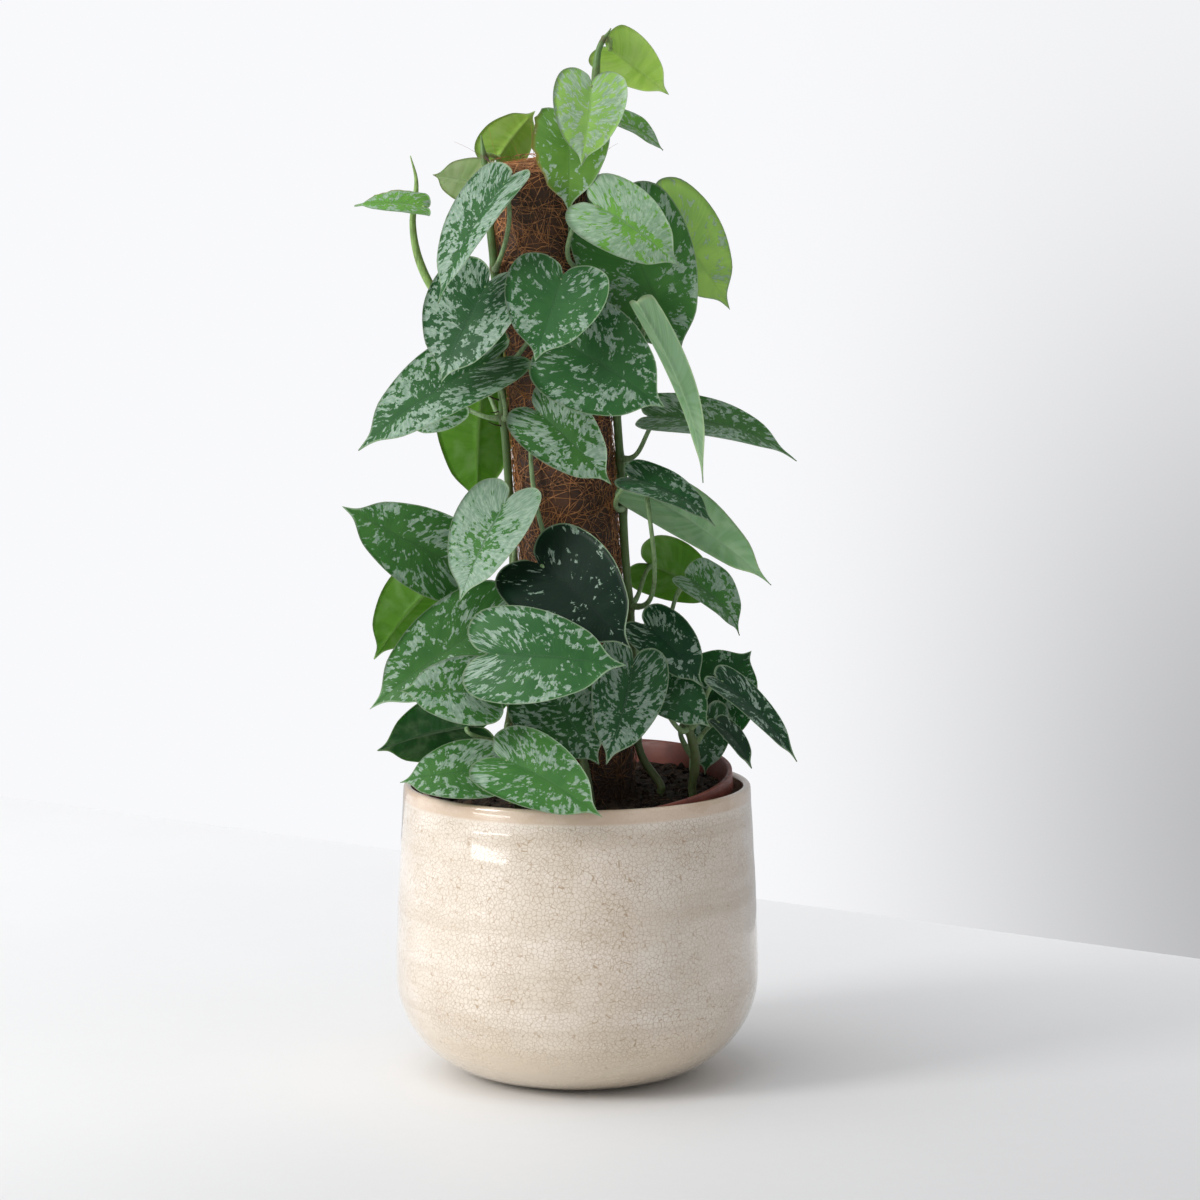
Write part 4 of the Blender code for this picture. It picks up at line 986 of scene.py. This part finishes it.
def build_aerial_roots(joints):
    """Dry roots that leave the joints and grip the coir, or stand off it as stubs."""
    rng = random.Random(23)
    paths, radii = [], []
    for place in itertools.chain(*joints.values()):
        for _ in range(rng.choice((1, 2, 2, 3))):
            axis = Vector((POLE_X, 0, place.z))
            outward = (place - axis).normalized()
            if (place - axis).length > COIR_RADIUS + 0.009:
                continue
            side = Vector((-outward.y, outward.x, 0)) * rng.choice((-1, 1))
            size, drop = rng.uniform(0.006, 0.017), rng.uniform(-0.3, 0.25)
            path = []
            for t in SPAN:
                turn = size * t / (COIR_RADIUS + 0.001)
                around = outward * math.cos(turn) + side * math.sin(turn)
                hug = COIR_RADIUS + VINE_RADIUS * (1 - t) ** 2 + 0.0008
                path.append(axis + around * hug + Vector((0, 0, drop * size * t)))
            paths.append(path)
            radii.append(np.interp(SPAN, [0, 1], [0.0006, 0.00018]))
    for height, swing, size, tilt in STUBS:
        place = min(vine_path("vine_left", FINE_SPANS), key=lambda p: abs(p.z - SOIL_TOP - height))
        way = Vector((-1, swing, tilt)).normalized()
        curl = Vector((0, -0.4, 0.6))
        paths.append([place + way * size * t + curl * size * 0.5 * t * t for t in SPAN])
        radii.append(np.interp(SPAN, [0, 1], [0.0007, 0.0002]))
    add_piece("aerial_roots", mesh_of("aerial_roots", *tubes(paths, radii, 6)), [ROOT], "green_stem")


# ---------------------------------------------------------------- leaves


def soil_based(place):
    """A point of the plant frame from one whose height is above the soil."""
    return Vector(place) + Vector((0, 0, SOIL_TOP))


def coarse_blade(leaf):
    """The points of the CAD blade's middle surface about its notch."""
    length, turn = blade_frame(leaf)
    return [
        turn @ blade_point(leaf, length, column / BLADE_HALF_COLUMNS, row / BLADE_ROWS)
        for column in range(-BLADE_HALF_COLUMNS, BLADE_HALF_COLUMNS + 1)
        for row in range(1, BLADE_ROWS)
    ]


def bezier(p0, p1, p2, p3, count):
    return [
        p0 * (1 - t) ** 3 + p1 * 3 * t * (1 - t) ** 2 + p2 * 3 * t * t * (1 - t) + p3 * t**3
        for t in np.linspace(0, 1, count + 1)
    ]


def cad_tree(name):
    """A BVH of a CAD node, in the plant frame."""
    back, mesh = PLANT.inverted(), nodes[name].data
    points = [back @ (nodes[name].matrix_world @ v.co) for v in mesh.vertices]
    return BVHTree.FromPolygons(points, [tuple(p.vertices) for p in mesh.polygons])


def found_shift(leaf, tree):
    """(how far the CAD blade was moved forwards or back to hang clear of the others, mean miss)"""
    middle = (leaf.base[1] + leaf.tip[1]) / 2
    base, points = soil_based(leaf.base), coarse_blade(leaf)
    shifts = [Vector((0.0, math.copysign(SETTLE_STEP * n, middle), 0.0)) for n in range(SETTLE_STEPS)]

    def miss(shift):
        return sum(abs(tree.find_nearest(base + shift + p)[3] - HALF_CAD_BLADE) for p in points)

    best = min(shifts, key=miss)
    return best, miss(best) / len(points)


def petiole_routes(leaf, shift):
    """The four control points of each way the stalk can run from its vine to the blade."""
    length, turn = blade_frame(leaf)
    along, normal = turn @ Vector((0, 1, 0)), turn @ Vector((0, 0, 1))
    end = soil_based(leaf.base) + shift + turn @ blade_point(leaf, length, 0.0, 0.16)
    path = vine_path(leaf.vine, VINE_SPAN_SEGMENTS)
    for slide in PETIOLE_SLIDES:
        height = SOIL_TOP + leaf.node + slide
        index = min(range(1, len(path) - 1), key=lambda i: abs(path[i].z - height))
        tangent = (path[index + 1] - path[index - 1]).normalized()
        span = end - path[index]
        radial = (span - tangent * span.dot(tangent)).normalized()
        reach = span.length
        turned_side = tangent.cross(radial)
        for swing, rise, pull in itertools.product(PETIOLE_SWINGS, (0.5, 0.0, 1.0), (0.35, 0.7)):
            away = (radial + turned_side * swing).normalized()
            start = path[index] + away * (VINE_RADIUS + GAP + PETIOLE_RADIUS * 0.4)
            for dip, run in PETIOLE_ENDS:
                first = start + (away + tangent * rise).normalized() * reach * pull
                arrive = (normal * dip + along * run).normalized()
                yield path[index], (start, first, end - arrive * reach * 0.35, end)


def found_route(leaf, shift, tree):
    """(worst miss, joint, control points) of the route that runs down the middle of the CAD stalk."""
    best = None
    for joint, controls in petiole_routes(leaf, shift):
        miss = 0.0
        for p in bezier(*controls, PETIOLE_SEGMENTS)[1:-1]:
            miss = max(miss, abs(tree.find_nearest(p)[3] - CAD_STALK_RADIUS))
            if best and miss >= best[0]:
                break
        if best is None or miss < best[0]:
            best = (miss, joint, controls)
        if miss < 0.00032:
            break
    return best


def drip_tip(v):
    """Share of the half width that is left where the tip draws out to a point."""
    near = clipped((v - 0.74) / 0.20)
    return 1 - 0.42 * near * near * (3 - 2 * near)


def bite(number, u, v, seed):
    """(share of the half width that is left, scorching) where a margin is eaten."""
    side, first, last, depth = BITTEN.get(number, (0, 0, 0, 0))
    if u * side <= 0 or not first < v < last:
        return 1.0, 0.0
    swell = math.sin(math.pi * (v - first) / (last - first))
    coarse, fine = noise.noise(Vector((v * 17, seed, 0))), noise.noise(Vector((v * 60, seed, 3)))
    ragged = 0.6 + 0.9 * abs(coarse) + 0.35 * fine
    return 1 - depth * swell**0.5 * ragged, max(0.0, (abs(u) - 0.9) / 0.1) * swell


def relief(u, v, half, seed):
    """The blade's height over its plain shape: side veins sink a little, and it swells between them."""
    quilt = math.sin(math.pi * VEINS * v**0.9) ** 2
    body = min(1.0, abs(u) * 4) * (1 - abs(u) ** 4) * min(1.0, half / 0.01)
    groove = 0.0005 * math.exp(-((u * half / 0.0016) ** 2)) * (1 - v)
    swell = 0.0009 * noise.noise(Vector((u * 1.4, v * 2.6, seed))) * abs(u)
    ripple = 0.0011 * noise.noise(Vector((seed, v * 7, u * 0.6 + 5))) * abs(u) ** 3
    return 0.00038 * quilt * body - groove + swell + ripple


def blade_surface(number, leaf, silver, seed, rows, columns):
    """Arrays over rows (v) and columns (u): points about the notch, and the attributes' values."""
    length, turn = blade_frame(leaf)
    place, vein, edge = (np.zeros((len(rows), len(columns), 3)) for _ in range(3))
    burn = np.zeros(place.shape[:2])
    for i, v in enumerate(rows):
        half = outline_point(v)[0] * leaf.width / 2 * drip_tip(v)
        for j, u in enumerate(columns):
            left, burn[i, j] = bite(number, u, v, seed)
            p = blade_point(leaf, length, u * drip_tip(v) * left, v)
            p.z += relief(u, v, half, seed)
            place[i, j] = turn @ p
            side, u = math.copysign(1, u), abs(u)
            vein[i, j] = (u * half + 0.003 * side + seed, v * length + 0.3 * side, seed * 3)
            edge[i, j] = (u * min(1.0, half / 0.004), (1 - u) * half * 1.05, silver)
    return place, vein, edge, burn


def blade_solid(leaf, place, rows, columns):
    """(points, faces, materials) of the blade: its upper and under sides joined round the margin."""
    high, wide = place.shape[:2]
    normal = np.cross(np.gradient(place, axis=1), np.gradient(place, axis=0))
    normal[0], normal[-1] = normal[1, wide // 2], normal[-2, wide // 2]
    normal = normal / np.maximum(np.linalg.norm(normal, axis=2, keepdims=True), TINY)
    u, v = np.abs(np.array(columns))[None, :, None], rows[:, None, None]
    half = np.array([outline_point(x)[0] * drip_tip(x) for x in rows])[:, None, None] * leaf.width / 2
    thick = BLADE_THICKNESS * (1 - 0.65 * u**6)
    fading = np.clip(1.05 - v, 0, 1) ** 0.7 * np.clip(half / 0.004, 0, 1)
    rib = 0.0011 * np.exp(-((u * half / 0.0009) ** 2)) * fading
    above, below = place + normal * thick / 2, place - normal * (thick / 2 + rib)
    points = np.concatenate([above.reshape(-1, 3), below.reshape(-1, 3)])
    total, faces = high * wide, []
    for i, j in itertools.product(range(high - 1), range(wide - 1)):
        a = i * wide + j
        faces.append((a, a + 1, a + wide + 1, a + wide))
        faces.append((total + a, total + a + wide, total + a + wide + 1, total + a + 1))
    materials = [0, 1] * (len(faces) // 2)
    border = [i * wide for i in range(high)] + [i * wide + wide - 1 for i in range(high)][::-1]
    faces += [(b, a, total + a, total + b) for a, b in zip(border, border[1:] + border[:1])]
    return points, faces, materials + [0] * len(border)


def stalk_tube(joint, controls):
    """(points, faces, bark) of the leaf's stalk, swollen at its foot and below the blade."""
    stalk = [joint, joint.lerp(controls[0], 0.6)] + bezier(*controls, 22)
    t = np.linspace(0, 1, len(stalk))
    places = [0, 0.06, 0.16, 0.3, 0.82, 0.90, 0.96, 1.0]
    swells = [1.55, 1.5, 1.15, 0.92, 0.82, 1.05, 0.95, 0.35]
    sides = 10
    bark = np.repeat(np.interp(t, [0, 0.05, 0.12], [0.5, 0.3, 0.0]), sides)
    return *tubes([stalk], [np.interp(t, places, swells) * PETIOLE_RADIUS], sides), bark


def build_leaf(number, leaf):
    name = f"leaf_{number:02d}"
    tree = cad_tree(name)
    shift, miss = found_shift(leaf, tree)
    off, joint, controls = found_route(leaf, shift, tree)
    if miss > 0.0004 or off > 0.0008:
        print("check", name, "blade", round(miss * 1000, 2), "stalk", round(off * 1000, 2))
    rng = random.Random(name)
    upper, under, silver = LOOKS.get(number, DEFAULT_LOOK)
    columns = [math.copysign(abs(k / FINE_HALF) ** 1.25, k) for k in range(-FINE_HALF, FINE_HALF + 1)]
    rows = np.linspace(0, 1, FINE_ROWS + 1)
    rows = rows - 0.035 * np.sin(2 * math.pi * rows)
    place, vein, edge, burn = blade_surface(number, leaf, silver, rng.uniform(0, 40), rows, columns)
    points, faces, materials = blade_solid(leaf, place, rows, columns)
    points = points + np.array(soil_based(leaf.base) + shift)
    count = len(points)
    tube_points, tube_faces, bark = stalk_tube(joint, controls)
    faces += [tuple(count + k for k in face) for face in tube_faces]
    mesh = mesh_of(f"{name}_look", np.concatenate([points, tube_points]), faces)
    mesh.polygons.foreach_set("material_index", materials + [2] * len(tube_faces))
    pad = np.zeros((len(tube_points), 3))
    put(mesh, "vein", "FLOAT_VECTOR", np.concatenate([vein.reshape(-1, 3)] * 2 + [pad]))
    put(mesh, "edge", "FLOAT_VECTOR", np.concatenate([edge.reshape(-1, 3)] * 2 + [pad + (1, 1, 0)]))
    put(mesh, "burn", "FLOAT", np.concatenate([burn.ravel()] * 2 + [pad[:, 0]]))
    for key, colour in (("upper", GREENS[upper]), ("under", GREENS[under])):
        vary = rng.uniform(0.88, 1.14)
        put_colour(mesh, key, [c * vary for c in colour])
    put_colour(mesh, "tint", (0.32, 0.47, 0.16) if number in (*YOUNG_LEAVES, 20) else (0.25, 0.38, 0.18))
    put(mesh, "bark", "FLOAT", np.concatenate([np.zeros(count), bark]))
    with editing(mesh) as shape:
        bmesh.ops.remove_doubles(shape, verts=shape.verts, dist=2e-6)
        bmesh.ops.dissolve_degenerate(shape, edges=shape.edges, dist=1e-7)
    slot = "young_leaf" if number in YOUNG_LEAVES else "satin_leaf"
    add_piece(f"{name}_look", mesh, [UPPER, LOWER, STEM], slot, name)
    return joint


build_cachepot()
build_nursery_pot()
build_soil()
loose = random.Random(11)
build_crumbs(loose)
build_soil_fibres(loose)
nodes["pole_stake"].data.materials.clear()
nodes["pole_stake"].data.materials.append(WOOD)
build_coir_core()
coir = np.random.default_rng(5)
build_strands(coir)
build_pole_top(coir)
joints = {name: [] for name in VINES}
for number, leaf in LEAVES.items():
    joints[leaf.vine].append(build_leaf(number, leaf))
for name in VINES:
    shoot = name == "side_shoot"
    tint = (0.26, 0.42, 0.12) if shoot else (0.13, 0.24, 0.08)
    build_vine(name, joints[name], tint, 0.022 if shoot else 0.010)
build_aerial_roots(joints)


# ---------------------------------------------------------------- stage, light and camera


# The floor's far edge runs aslant behind the pot, as a wall's foot would.
FLOOR_CORNERS = ((-6.0, -6.0), (5.0, -6.0), (5.0, -2.963), (-6.0, 4.957))


def build_stage():
    mesh = bpy.data.meshes.new("floor")
    with editing(mesh) as shape:
        shape.faces.new([shape.verts.new((x, y, 0.0)) for x, y in FLOOR_CORNERS])
    floor = add_object("floor", mesh)
    floor.location.z = -0.0002
    mesh.materials.append(floor_material())

    world = bpy.data.worlds.new("studio")
    bpy.context.scene.world = world
    world.use_nodes = True
    tree = world.node_tree
    backdrop = tree.nodes["Background"]
    backdrop.inputs[0].default_value = (0.958, 0.962, 0.985, 1.0)
    # The wall behind is bright, but little of its light falls on the leaves. It falls into
    # shade towards the right, more so lower down.
    seen = node(tree, "LightPath", {}, "Is Camera Ray")
    right, away, up = node(tree, "TexCoord", {}, "Generated").split()
    shade = up.ramp(0.06, -0.18, 0.07, 0.50) * away.ramp(0.90, 0.96) * right.ramp(0.03, 0.19)
    wall = node(tree, "Math", {0: 0.985, 1: shade}, operation="SUBTRACT")
    tree.links.new(seen.between(0.50, wall).socket, backdrop.inputs[1])


def add_lamp(name, kind, power, **settings):
    lamp = bpy.data.lights.new(name, kind)
    lamp.energy = power
    for key, value in settings.items():
        setattr(lamp, key, value)
    return add_object(name, lamp)


def aim(made, way):
    made.rotation_euler = Vector(way).to_track_quat("-Z", "Y").to_euler()


def add_window(name, place, target, size, power, colour):
    """An area lamp: a window's light."""
    shape = {"shape": "RECTANGLE", "size": size[0], "size_y": size[1], "color": colour}
    made = add_lamp(name, "AREA", power, **shape)
    made.location = place
    aim(made, Vector(target) - Vector(place))


build_stage()
add_window("pane", (-1.66, -1.12, 0.042), (0.0, 0.0, 0.16), (0.95, 0.05), 1.2, (1.0, 0.99, 0.98))
add_window("window", (-2.0, -1.1, 1.15), (0.0, 0.0, 0.25), (0.7, 1.0), 33.0, (1.0, 0.99, 0.975))
aim(add_lamp("day", "SUN", 1.45, angle=math.radians(70)), (0.55, 0.25, -1.0))

TARGET = Vector((0.014, 0.0, 0.291))
DISTANCE = 2.25
PITCH = math.radians(6.5)
HALF_FIELD = 0.3654  # metres at the target from the picture's middle to its side
camera = bpy.data.cameras.new("camera")
camera.sensor_width = 36.0
camera.lens = camera.sensor_width / 2 * DISTANCE / HALF_FIELD
view = add_object("camera", camera)
view.location = TARGET + DISTANCE * Vector((0.0, -math.cos(PITCH), math.sin(PITCH)))
aim(view, TARGET - view.location)
bpy.context.scene.camera = view
bpy.context.scene.view_settings.view_transform = "Standard"
